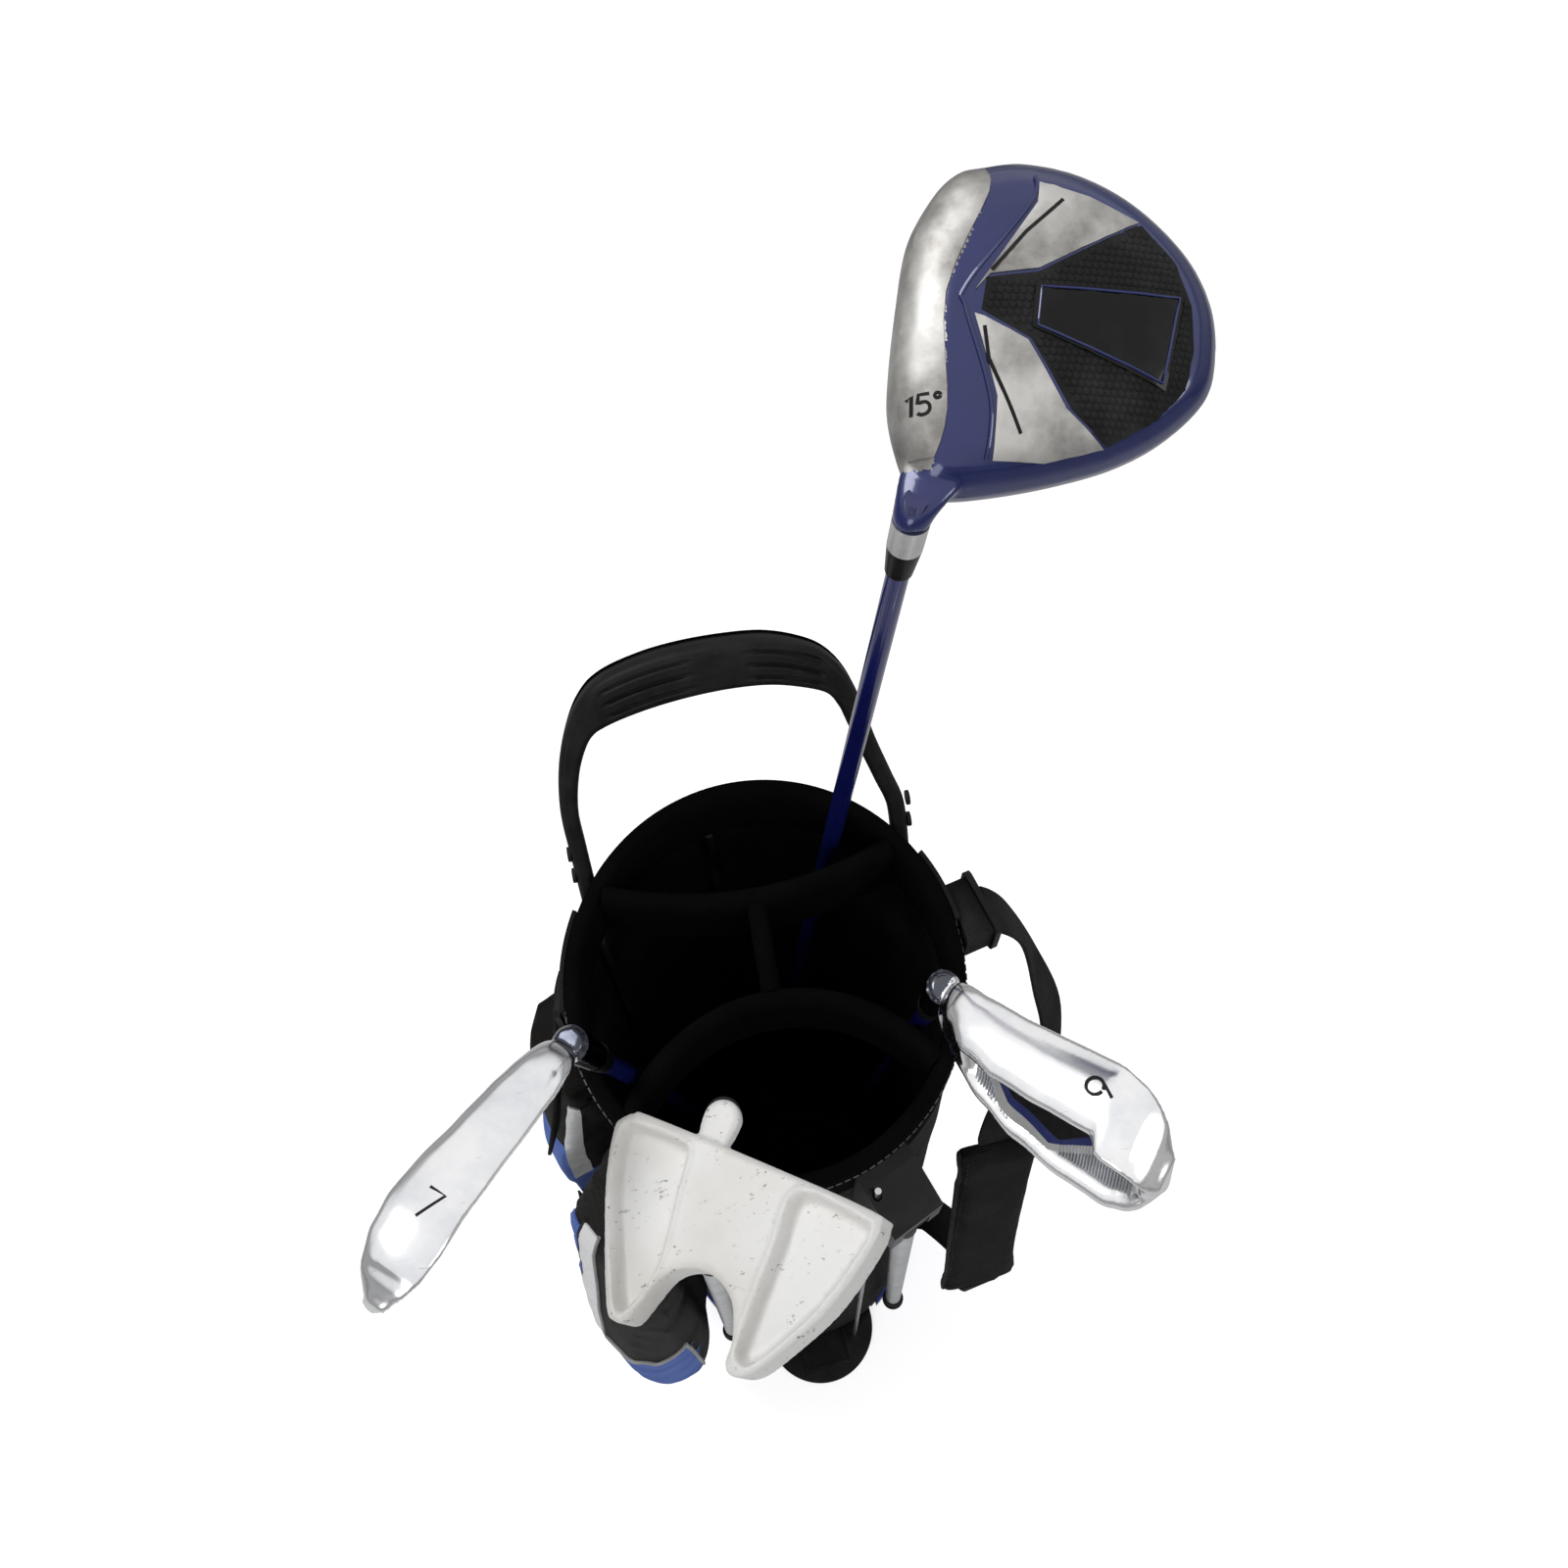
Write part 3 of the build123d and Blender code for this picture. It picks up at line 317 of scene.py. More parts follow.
def loft(name, rings, caps=True, sharp=40.0):
    # a skin through closed rings, with a UV measured along and around it
    count = len(rings[0])
    cols = count + 1
    verts, uvs, faces = [], [], []
    along = 0.0
    for r, ring in enumerate(rings):
        if r:
            along += sum((a - b).length for a, b in zip(ring, rings[r - 1])) / count
        around = 0.0
        for c in range(cols):
            if c:
                around += (ring[c % count] - ring[c - 1]).length
            verts.append(ring[c % count])
            uvs.append((around, along))
    for r in range(len(rings) - 1):
        for c in range(cols - 1):
            a = r * cols + c
            faces.append((a, a + 1, a + cols + 1, a + cols))
    if caps:
        for r in (0, len(rings) - 1):
            verts.append(sum(rings[r], Vector()) / count)
            uvs.append(uvs[r * cols])
            hub = len(verts) - 1
            for c in range(cols - 1):
                faces.append((r * cols + c, r * cols + c + 1, hub))
    return addMesh(name, verts, faces, uvs, sharp)


def smoothPath(points, steps, closed=False):
    # a rounded path through the points
    points = [Vector(p) for p in points]
    last = len(points)
    path = []
    for i in range(last if closed else last - 1):
        near = [i + k for k in (-1, 0, 1, 2)]
        p = [points[k % last] if closed else points[min(max(k, 0), last - 1)] for k in near]
        for step in range(steps):
            t = step / steps
            path.append(0.5 * ((2 * p[1]) + (p[2] - p[0]) * t
                               + (2 * p[0] - 5 * p[1] + 4 * p[2] - p[3]) * t * t
                               + (3 * p[1] - p[0] - 3 * p[2] + p[3]) * t ** 3))
    if not closed:
        path.append(points[-1])
    return path


def curveValue(table, x):
    # smooth reading of a short table of (x, value)
    if x <= table[0][0]:
        return table[0][1]
    for (x0, v0), (x1, v1) in zip(table, table[1:]):
        if x <= x1:
            t = (x - x0) / (x1 - x0)
            t = t * t * (3 - 2 * t)
            return v0 + (v1 - v0) * t
    return table[-1][1]


def lineValue(table, x):
    # straight reading of a short table of (x, value)
    if x <= table[0][0]:
        return table[0][1]
    for (x0, v0), (x1, v1) in zip(table, table[1:]):
        if x <= x1:
            return v0 + (v1 - v0) * (x - x0) / (x1 - x0)
    return table[-1][1]


def roundedBox(width, thick, corner, steps=4):
    # points of a rectangle with rounded corners, anticlockwise
    points = []
    for cx, cy, start in ((1, 1, 0), (-1, 1, 90), (-1, -1, 180), (1, -1, 270)):
        for k in range(steps + 1):
            angle = math.radians(start + 90 * k / steps)
            points.append((cx * (width / 2 - corner) + corner * math.cos(angle),
                           cy * (thick / 2 - corner) + corner * math.sin(angle)))
    return points


def strapRings(stations, width, thick, corner, steps):
    # a strap's cross-sections, from its (place, way across) stations
    centres = smoothPath([place for place, way in stations], steps)
    ways = smoothPath([way for place, way in stations], steps)
    last = len(centres) - 1
    rings = []
    for i, (centre, way) in enumerate(zip(centres, ways)):
        run = (centres[min(i + 1, last)] - centres[max(i - 1, 0)]).normalized()
        across = (way - run * way.dot(run)).normalized()
        up = run.cross(across)
        rings.append([(centre + across * x + up * y) * mm for x, y in roundedBox(width, thick, corner)])
    return rings


def inside(point, outline):
    hit = False
    px, py = point
    for (x0, y0), (x1, y1) in zip(outline, outline[1:] + outline[:1]):
        if (y0 > py) != (y1 > py) and px < x0 + (py - y0) / (y1 - y0) * (x1 - x0):
            hit = not hit
    return hit


def edgeDistance(point, outline):
    best = 1e9
    px, py = point
    for (x0, y0), (x1, y1) in zip(outline, outline[1:] + outline[:1]):
        dx, dy = x1 - x0, y1 - y0
        t = max(0.0, min(1.0, ((px - x0) * dx + (py - y0) * dy) / max(dx * dx + dy * dy, 1e-9)))
        best = min(best, math.hypot(px - x0 - dx * t, py - y0 - dy * t))
    return best


def densified(outline, gap):
    # the same closed outline, with points about a gap apart
    points = []
    for (x0, y0), (x1, y1) in zip(outline, outline[1:] + outline[:1]):
        count = max(1, round(math.hypot(x1 - x0, y1 - y0) / gap))
        points += [(x0 + (x1 - x0) * k / count, y0 + (y1 - y0) * k / count) for k in range(count)]
    return points


def flatFill(outline, gap):
    # points and triangles that fill an outline evenly
    rim = densified(outline, gap)
    points = list(rim)
    xs, ys = [x for x, y in rim], [y for x, y in rim]
    row, y = 0, min(ys)
    while y < max(ys):
        x = min(xs) + (gap / 2 if row % 2 else 0)
        while x < max(xs):
            if inside((x, y), rim) and edgeDistance((x, y), rim) > gap * 0.6:
                points.append((x, y))
            x += gap
        y += gap * 0.87
        row += 1
    edges = [(k, (k + 1) % len(rim)) for k in range(len(rim))]
    done = delaunay_2d_cdt([Vector(p) for p in points], edges, [], 0, 1e-5)
    verts = [tuple(v) for v in done[0]]
    faces = [f for f in done[2] if inside([sum(verts[i][k] for i in f) / 3 for k in (0, 1)], rim)]
    return verts, faces


def rimEdges(faces):
    # the edges that only one face has
    pairs = [pair for face in faces for pair in zip(face, face[1:] + face[:1])]
    count = {}
    for pair in pairs:
        count[frozenset(pair)] = count.get(frozenset(pair), 0) + 1
    return [pair for pair in pairs if count[frozenset(pair)] == 1]


def closedSheet(name, top, low, faces, sharp=40.0):
    # the same faces above and below, with a wall round the rim
    total = len(top)
    solid = [tuple(f) for f in faces] + [tuple(i + total for i in reversed(f)) for f in faces]
    solid += [(b, a, a + total, b + total) for a, b in rimEdges(faces)]
    return addMesh(name, top + low, solid, sharp=sharp)


def landOn(surface, place, h, f):
    # drops a point onto a club head from 60 mm out on the sole's side
    down = (place(0, 0, -1) - place(0, 0, 0)).normalized()
    hit, normal, _, _ = surface.ray_cast(place(h, f, 60), down)
    if hit is None:
        hit, normal, _, _ = surface.find_nearest(place(h, f, 0))
    if normal.dot(down) > 0:
        normal = -normal
    return hit, normal


def plateOn(name, surface, place, outline, lift, thick, gap=2.2, edge=0.35):
    # a thin plate that follows a club head, with a softened edge
    verts, faces = flatFill(outline, gap)
    rim = {i for pair in rimEdges(faces) for i in pair}
    top, low = [], []
    for i, (h, f) in enumerate(verts):
        hit, normal = landOn(surface, place, h, f)
        drop = edge if i in rim else 0.0
        top.append(hit + normal * (lift + thick - drop) * mm)
        low.append(hit + normal * (lift - 0.5) * mm)
    return closedSheet(name, top, low, faces, 50)


def stripOutline(points, width):
    # the outline of a thin line drawn through points
    left, right = [], []
    for i, p in enumerate(points):
        a, b = points[max(i - 1, 0)], points[min(i + 1, len(points) - 1)]
        size = math.hypot(b[0] - a[0], b[1] - a[1])
        nx, ny = -(b[1] - a[1]) / size * width / 2, (b[0] - a[0]) / size * width / 2
        left.append((p[0] + nx, p[1] + ny))
        right.append((p[0] - nx, p[1] - ny))
    return left + right[::-1]


def circleAt(middle, across, other, radius, sides=32):
    turns = [2 * math.pi * k / sides for k in range(sides)]
    return [middle + (across * math.cos(a) + other * math.sin(a)) * radius * mm for a in turns]


def tube(name, path, radius, sides=8, closed=False):
    # a round cord along a path, its sections turned as little as can be
    rings = []
    last = len(path)
    normal = Vector((0.3, 0.2, 0.93))
    for i, centre in enumerate(path):
        a = path[(i - 1) % last] if closed else path[max(i - 1, 0)]
        b = path[(i + 1) % last] if closed else path[min(i + 1, last - 1)]
        run = (b - a).normalized()
        across = run.cross(normal)
        if across.length < 1e-4:
            across = run.orthogonal()
        across.normalize()
        normal = across.cross(run).normalized()
        rings.append(circleAt(centre, across, normal, radius, sides))
    if closed:
        rings.append(rings[0])
    return loft(name, rings, caps=not closed)


def bodyTree(obj):
    return BVHTree.FromObject(obj, bpy.context.evaluated_depsgraph_get())


def joined(name, meshes, voxel=None, smooth=0):
    # meshes made one, and blended into a single skin where a voxel size is given
    work = bmesh.new()
    for mesh in meshes:
        work.from_mesh(mesh)
    whole = bpy.data.meshes.new(name)
    work.to_mesh(whole)
    work.free()
    if voxel is None:
        return whole
    obj = bpy.data.objects.new(name + "Blend", whole)
    bpy.context.scene.collection.objects.link(obj)
    skin = obj.modifiers.new("skin", "REMESH")
    skin.mode = "VOXEL"
    skin.voxel_size = voxel * mm
    skin.use_smooth_shade = True
    if smooth:
        soften = obj.modifiers.new("soften", "SMOOTH")
        soften.factor = 0.5
        soften.iterations = smooth
    made = bpy.data.meshes.new_from_object(obj.evaluated_get(bpy.context.evaluated_depsgraph_get()))
    bpy.data.objects.remove(obj)
    bpy.data.meshes.remove(whole)
    made.name = name
    made.materials.clear()
    for polygon in made.polygons:
        polygon.use_smooth = True
    return made


# one geometry tree repeats a small part along a path, the other repeats one on points
def newTree(name, inputs):
    tree = bpy.data.node_groups.new(name, "GeometryNodeTree")
    tree.interface.new_socket("Geometry", in_out="INPUT", socket_type="NodeSocketGeometry")
    for label, kind, value in inputs:
        socket = tree.interface.new_socket(label, in_out="INPUT", socket_type=kind)
        if value is not None:
            socket.default_value = value
    tree.interface.new_socket("Geometry", in_out="OUTPUT", socket_type="NodeSocketGeometry")
    start = tree.nodes.new("NodeGroupInput")
    end = tree.nodes.new("NodeGroupOutput")
    return tree, start, end


def treeEnd(tree, geometry, end, material):
    realize = tree.nodes.new("GeometryNodeRealizeInstances")
    paint = tree.nodes.new("GeometryNodeSetMaterial")
    paint.inputs["Material"].default_value = material
    tree.links.new(geometry, realize.inputs[0])
    tree.links.new(realize.outputs[0], paint.inputs["Geometry"])
    tree.links.new(paint.outputs[0], end.inputs[0])


def stitchTree(name, material):
    # stitches: short rounded threads laid end to end along a path
    tree, start, end = newTree(name, [("Pitch", "NodeSocketFloat", 0.004),
                                      ("Thread", "NodeSocketFloat", 0.0005),
                                      ("Length", "NodeSocketFloat", 0.0028)])
    cut = tree.nodes.new("GeometryNodeResampleCurve")
    cut.mode = "LENGTH"
    tangent = tree.nodes.new("GeometryNodeInputTangent")
    aim = tree.nodes.new("FunctionNodeAlignRotationToVector")
    aim.axis = "Z"
    thread = tree.nodes.new("GeometryNodeMeshCylinder")
    thread.inputs["Vertices"].default_value = 6
    spread = tree.nodes.new("GeometryNodeInstanceOnPoints")
    links = tree.links
    links.new(start.outputs["Geometry"], cut.inputs["Curve"])
    links.new(start.outputs["Pitch"], cut.inputs["Length"])
    links.new(start.outputs["Thread"], thread.inputs["Radius"])
    links.new(start.outputs["Length"], thread.inputs["Depth"])
    links.new(tangent.outputs[0], aim.inputs["Vector"])
    links.new(cut.outputs[0], spread.inputs["Points"])
    links.new(thread.outputs["Mesh"], spread.inputs["Instance"])
    links.new(aim.outputs[0], spread.inputs["Rotation"])
    treeEnd(tree, spread.outputs[0], end, material)
    return tree


def pillowTree(name, material):
    # low pillows on points, each turned to the surface it sits on
    tree, start, end = newTree(name, [("Size", "NodeSocketFloat", 0.002), ("Rise", "NodeSocketFloat", 0.0006),
                                      ("Turn", "NodeSocketFloat", 0.0)])
    facing = tree.nodes.new("GeometryNodeInputNamedAttribute")
    facing.data_type = "FLOAT_VECTOR"
    facing.inputs["Name"].default_value = "facing"
    aim = tree.nodes.new("FunctionNodeAlignRotationToVector")
    aim.axis = "Z"
    spin = tree.nodes.new("FunctionNodeRotateRotation")
    spin.rotation_space = "LOCAL"
    angles = tree.nodes.new("ShaderNodeCombineXYZ")
    ball = tree.nodes.new("GeometryNodeMeshUVSphere")
    ball.inputs["Segments"].default_value = 8
    ball.inputs["Rings"].default_value = 4
    ball.inputs["Radius"].default_value = 1.0
    size = tree.nodes.new("ShaderNodeCombineXYZ")
    shape = tree.nodes.new("GeometryNodeTransform")
    spread = tree.nodes.new("GeometryNodeInstanceOnPoints")
    links = tree.links
    links.new(facing.outputs[0], aim.inputs["Vector"])
    links.new(start.outputs["Turn"], angles.inputs["Z"])
    links.new(aim.outputs[0], spin.inputs["Rotation"])
    links.new(angles.outputs[0], spin.inputs["Rotate By"])
    links.new(start.outputs["Size"], size.inputs["X"])
    links.new(start.outputs["Size"], size.inputs["Y"])
    links.new(start.outputs["Rise"], size.inputs["Z"])
    links.new(ball.outputs["Mesh"], shape.inputs["Geometry"])
    links.new(size.outputs[0], shape.inputs["Scale"])
    links.new(start.outputs["Geometry"], spread.inputs["Points"])
    links.new(shape.outputs[0], spread.inputs["Instance"])
    links.new(spin.outputs[0], spread.inputs["Rotation"])
    treeEnd(tree, spread.outputs[0], end, material)
    return tree


def grown(name, source, tree, **sizes):
    # runs a tree on an object and keeps the result as a plain mesh
    bpy.context.scene.collection.objects.link(source)
    grow = source.modifiers.new("grow", "NODES")
    grow.node_group = tree
    for item in tree.interface.items_tree:
        if item.item_type == "SOCKET" and item.in_out == "INPUT" and item.name in sizes:
            grow[item.identifier] = sizes[item.name]
    graph = bpy.context.evaluated_depsgraph_get()
    mesh = bpy.data.meshes.new_from_object(source.evaluated_get(graph))
    bpy.data.objects.remove(source)
    mesh.name = name
    for polygon in mesh.polygons:
        polygon.use_smooth = True
    return mesh


def pathCurve(name, path, closed=False):
    curve = bpy.data.curves.new(name, "CURVE")
    curve.dimensions = "3D"
    spline = curve.splines.new("POLY")
    spline.points.add(len(path) - 1)
    for point, place in zip(spline.points, path):
        point.co = (*place, 1)
    spline.use_cyclic_u = closed
    return bpy.data.objects.new(name, curve)


def stitches(name, path, body, tree, closed=False, **sizes):
    mesh = grown(name, pathCurve(name + "Path", path, closed), tree, **sizes)
    return addPiece(mesh, body, tree.nodes["Set Material"].inputs["Material"].default_value)


def pointCloud(name, points, normals):
    mesh = bpy.data.meshes.new(name)
    mesh.from_pydata([tuple(p) for p in points], [], [])
    facing = mesh.attributes.new("facing", "FLOAT_VECTOR", "POINT")
    facing.data.foreach_set("vector", [c for n in normals for c in n])
    return bpy.data.objects.new(name, mesh)


greyStitch = stitchTree("greyStitchRow", threadGrey)
blackPillow = pillowTree("blackPillowField", rubberBlack)


# how each head lies on its shaft, in degrees and in mm along the club
clubs = {
    "driver": {"toe": (0.15, 1, 0), "lie": 58.0, "head": 899.0},
    "iron_7": {"toe": (-0.643, -0.757, 0), "lie": 62.0, "head": 750.0},
    "iron_9": {"toe": (0.74, -0.68, 0), "lie": 62.0, "head": 720.0},
    "putter": {"toe": (0.863, -0.533, 0), "lie": 70.0, "head": 720.0},
}
shaftStart = 6.05  # where the CAD shafts begin, in mm along the club


def endMiddle(points, low):
    edge = min(p.z for p in points) if low else max(p.z for p in points)
    near = [p for p in points if abs(p.z - edge) < 0.003]
    return Vector([(min(p[k] for p in near) + max(p[k] for p in near)) / 2 for k in range(3)])


def clubFrame(name):
    # places a point by millimetres toward the toe, toward the face and out of the sole, and along the shaft
    facts = clubs[name]
    points = [v.co for v in nodes[name + "_shaft"].data.vertices]
    low, high = endMiddle(points, True), endMiddle(points, False)
    along = (high - low).normalized()
    toe = Vector(facts["toe"])
    toe = (toe - along * toe.dot(along)).normalized()
    lie = math.radians(facts["lie"])
    out = along * math.cos(lie) + toe * math.sin(lie)
    sole = along * math.sin(lie) - toe * math.cos(lie)
    face = sole.cross(out)
    start = low - along * shaftStart * mm
    origin = start + along * facts["head"] * mm

    def place(h, f, n):
        return origin + (out * h + face * f + sole * n) * mm

    def shaftPoint(s):
        return start + along * s * mm

    return place, shaftPoint, along


def coneRings(shaftPoint, along, stations):
    across = along.orthogonal().normalized()
    other = along.cross(across)
    return [circleAt(shaftPoint(s), across, other, r) for s, r in stations]


driverSizes = {
    "rim": [(109, -19), (111, -33), (108, -52), (99, -71), (84, -88), (68, -97), (52, -99), (38, -96),
            (25, -83), (16, -67), (10, -48), (6, -29), (4, -12), (6, -1), (15, 4), (30, 8), (45, 8),
            (66, 6), (85, 3), (100, -5), (107, -12)],
    "middle": (54, -40),
    "profile": [(0.06, 14.6), (0.25, 14.3), (0.5, 13.0), (0.7, 10.8), (0.84, 7.8), (0.93, 4.0),
                (0.985, -0.5), (1.0, -5), (0.985, -12), (0.93, -20), (0.82, -28), (0.65, -34), (0.42, -38),
                (0.2, -39.8), (0.05, -40)],
    "ringTop": 894.45,
    "neck": [(897, 6.7, 0.4), (900, 7.4, 1.6), (903, 8.6, 3.8), (906, 10.0, 7.0), (909, 11.4, 11.0)],
    "channelLeft": [(106, -20), (97, -20), (66, -7), (30, -8), (16, -5)],
    "channelRight": [(103, -35), (94, -33), (68, -13), (60, -13), (33, -21), (15, -21)],
    "upperWing": [(101, -36), (97, -52), (90, -68), (73, -35), (71, -20), (66, -15.5), (94, -35)],
    "lowerWing": [(59, -15.5), (58, -18.5), (51, -32), (31, -45), (20, -59), (15, -40), (15, -23), (34, -23)],
    "field": [(90, -69), (79, -80), (65, -86), (52, -87), (39, -85), (29, -76), (20, -60), (31, -46.5),
              (51.5, -33), (60, -17.5), (70, -19), (72, -35)],
    "badge": [(68, -34), (67, -82), (38, -77), (55, -33)],
    "faceWrap": [(15, 2.2), (30, 5.8), (45, 6.2), (66, 4.2), (85, 1.2), (98, -5.5), (104.5, -12.5)],
    "wingLift": 0.9, "badgeMiddle": (58, -57),
    "pillowPitch": 2.9, "pillowTurn": 38, "pillowMiddle": (52, -55),
}
placeDriver, driverShaft, driverAlong = clubFrame("driver")


def driverBody():
    sizes = driverSizes
    rim = smoothPath([(*p, 0) for p in sizes["rim"]], 6, closed=True)
    mh, mf = sizes["middle"]
    rings = []
    for share, n in sizes["profile"]:
        ring = []
        for p in rim:
            front = max(0.0, (p.y - mf) / 48.0)  # the face side stays upright
            keep = share
            if -30 < n < -4:
                keep = max(share, share + (0.965 + n * 0.0022 - share) * min(1.0, front ** 2 * 1.1))
            ring.append(placeDriver(mh + (p.x - mh) * keep, mf + (p.y - mf) * keep, n))
        rings.append(ring)
    shell = loft("driverShell", rings)
    across = driverAlong.orthogonal().normalized()
    other = driverAlong.cross(across)
    lean = placeDriver(1, -0.75, -0.85) - placeDriver(0, 0, 0)
    neck = [circleAt(driverShaft(s) + lean * pull, across, other, r)
            for s, r, pull in [(sizes["ringTop"] + 0.1, 6.5, 0)] + sizes["neck"]]
    return joined("driverHead", [shell, loft("driverNeck", neck)], voxel=1.1, smooth=6)


def frameInverse(place):
    # from a place in the scene back to a club head's own millimetres
    o, h, f, n = place(0, 0, 0), place(1, 0, 0), place(0, 1, 0), place(0, 0, 1)
    ways = [(v - o) / mm ** 2 for v in (h, f, n)]
    return lambda p: tuple((p - o).dot(w) for w in ways)


driverMesh = driverBody()
driverHead = addPiece(driverMesh, "driver", crownBlue, ("driver_head",))
driverMesh.materials.append(castSilver)
whereDriver = frameInverse(placeDriver)
for polygon in driverMesh.polygons:  # the face side of the sole is bare cast metal
    h, f, n = whereDriver(polygon.center)
    edge = lineValue(driverSizes["channelLeft"][::-1], h)
    if f > edge + 0.4 and 12 < h < 107 and n > -34:
        polygon.material_index = 1
driverTree = bodyTree(driverHead)


def driverPlate(name, outline, lift, thick, material, **more):
    mesh = plateOn(name, driverTree, placeDriver, outline, lift, thick, **more)
    return addPiece(mesh, "driver", material)


def onDriver(h, f, lift):
    hit, normal = landOn(driverTree, placeDriver, h, f)
    return hit + normal * lift * mm, normal


def driverDetails():
    sizes = driverSizes
    lift = sizes["wingLift"]
    left = smoothPath([(*p, 0) for p in sizes["channelLeft"]], 4)
    faceOutline = [(p.x, p.y) for p in left] + sizes["faceWrap"]
    driverPlate("driverFaceWrap", faceOutline, 0.0, lift, castSilver)
    driverPlate("driverUpperWing", sizes["upperWing"], 0.0, lift, castSilver)
    driverPlate("driverLowerWing", sizes["lowerWing"], 0.0, lift, castSilver)
    driverPlate("driverField", sizes["field"], 0.0, 0.35, rubberBlack)
    points, normals = [], []
    pitch, turn = sizes["pillowPitch"], math.radians(sizes["pillowTurn"])
    mh, mf = sizes["pillowMiddle"]
    for i in range(-40, 41):
        for j in range(-40, 41):
            x, y = (i + (j % 2) * 0.5) * pitch, j * pitch * 0.62
            h = mh + x * math.cos(turn) - y * math.sin(turn)
            f = mf + x * math.sin(turn) + y * math.cos(turn)
            clear = inside((h, f), sizes["field"]) and edgeDistance((h, f), sizes["field"]) > 1.6
            if clear and not inside((h, f), sizes["badge"]):
                point, normal = onDriver(h, f, 0.3)
                points.append(point)
                normals.append(normal)
    field = grown("driverFieldPillows", pointCloud("driverFieldPoints", points, normals), blackPillow,
                  Size=0.0013, Rise=0.00045, Turn=0.6)
    addPiece(field, "driver", rubberBlack)
    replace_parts(driverPlate("driverBadge", sizes["badge"], 0.3, 1.3, glossBlack, edge=0.5), "driver_badge")
    mh, mf = sizes["badgeMiddle"]
    inset = [(mh + (h - mh) * 0.9, mf + (f - mf) * 0.93) for h, f in sizes["badge"]]
    edgeLine = [onDriver(h, f, 1.62)[0] for h, f in densified(inset, 2.0)]
    addPiece(tube("driverBadgeLine", edgeLine, 0.42, closed=True), "driver", crownBlue)
    for name, line in (("driverLineUpper", [(95, -43), (84, -31), (72, -20.5)]),
                       ("driverLineLower", [(55, -18.5), (45, -20), (23, -31)])):
        driverPlate(name, stripOutline(line, 1.15), lift - 0.1, 0.16, inkBlack, gap=1.0, edge=0.0)
    right = smoothPath([(*p, 0) for p in sizes["channelRight"]], 8)
    ridge = [onDriver(p.x, p.y, 0.35)[0] for p in right]
    addPiece(tube("driverChannelRidge", ridge, 0.65), "driver", crownBlue)


driverDetails()


def strokeGlyph(name, tree, place, strokes, width, body, lift=0.0):
    # a numeral in ink, each stroke a thin strip
    meshes = [plateOn(name, tree, place, stripOutline(stroke, width), lift, 0.12, gap=0.7, edge=0.0)
              for stroke in strokes]
    return addPiece(joined(name, meshes), body, inkBlack)


def arcPoints(cx, cy, rx, ry, start, end, count=20):
    return [(cx + rx * math.cos(math.radians(start + (end - start) * k / count)),
             cy + ry * math.sin(math.radians(start + (end - start) * k / count))) for k in range(count + 1)]


def glyphTo(corner, right, up):
    # moves a numeral drawn in a unit box onto a head
    return lambda points: [(corner[0] + right[0] * x + up[0] * y, corner[1] + right[1] * x + up[1] * y)
                           for x, y in points]


loftMark = glyphTo((28, 3.6), (0.9, -9.6), (6.2, 0.2))
strokeGlyph("driverLoftMark", driverTree, placeDriver, [
    loftMark([(0.02, 0.78), (0.17, 1.0), (0.17, 0.0)]),
    loftMark([(0.68, 1.0), (0.36, 1.0), (0.34, 0.58)] + arcPoints(0.5, 0.33, 0.2, 0.31, 120, -140, 14)),
    loftMark(arcPoints(0.93, 0.86, 0.085, 0.13, 0, 350, 12)),
], 1.05, "driver", lift=driverSizes["wingLift"])
print("driver made")


def repaint(cadNode, material):
    mesh = nodes[cadNode].data
    mesh.materials.clear()
    mesh.materials.append(material)


def restOfClub(name):
    # grip, shaft and ferrule keep their CAD shape
    for part, material in (("grip", rubberBlack), ("shaft", shaftBlue), ("ferrule", glossBlack)):
        repaint(name + "_" + part, material)


for clubName in clubs:
    restOfClub(clubName)
repaint("driver_hosel_ring", satinSilver)

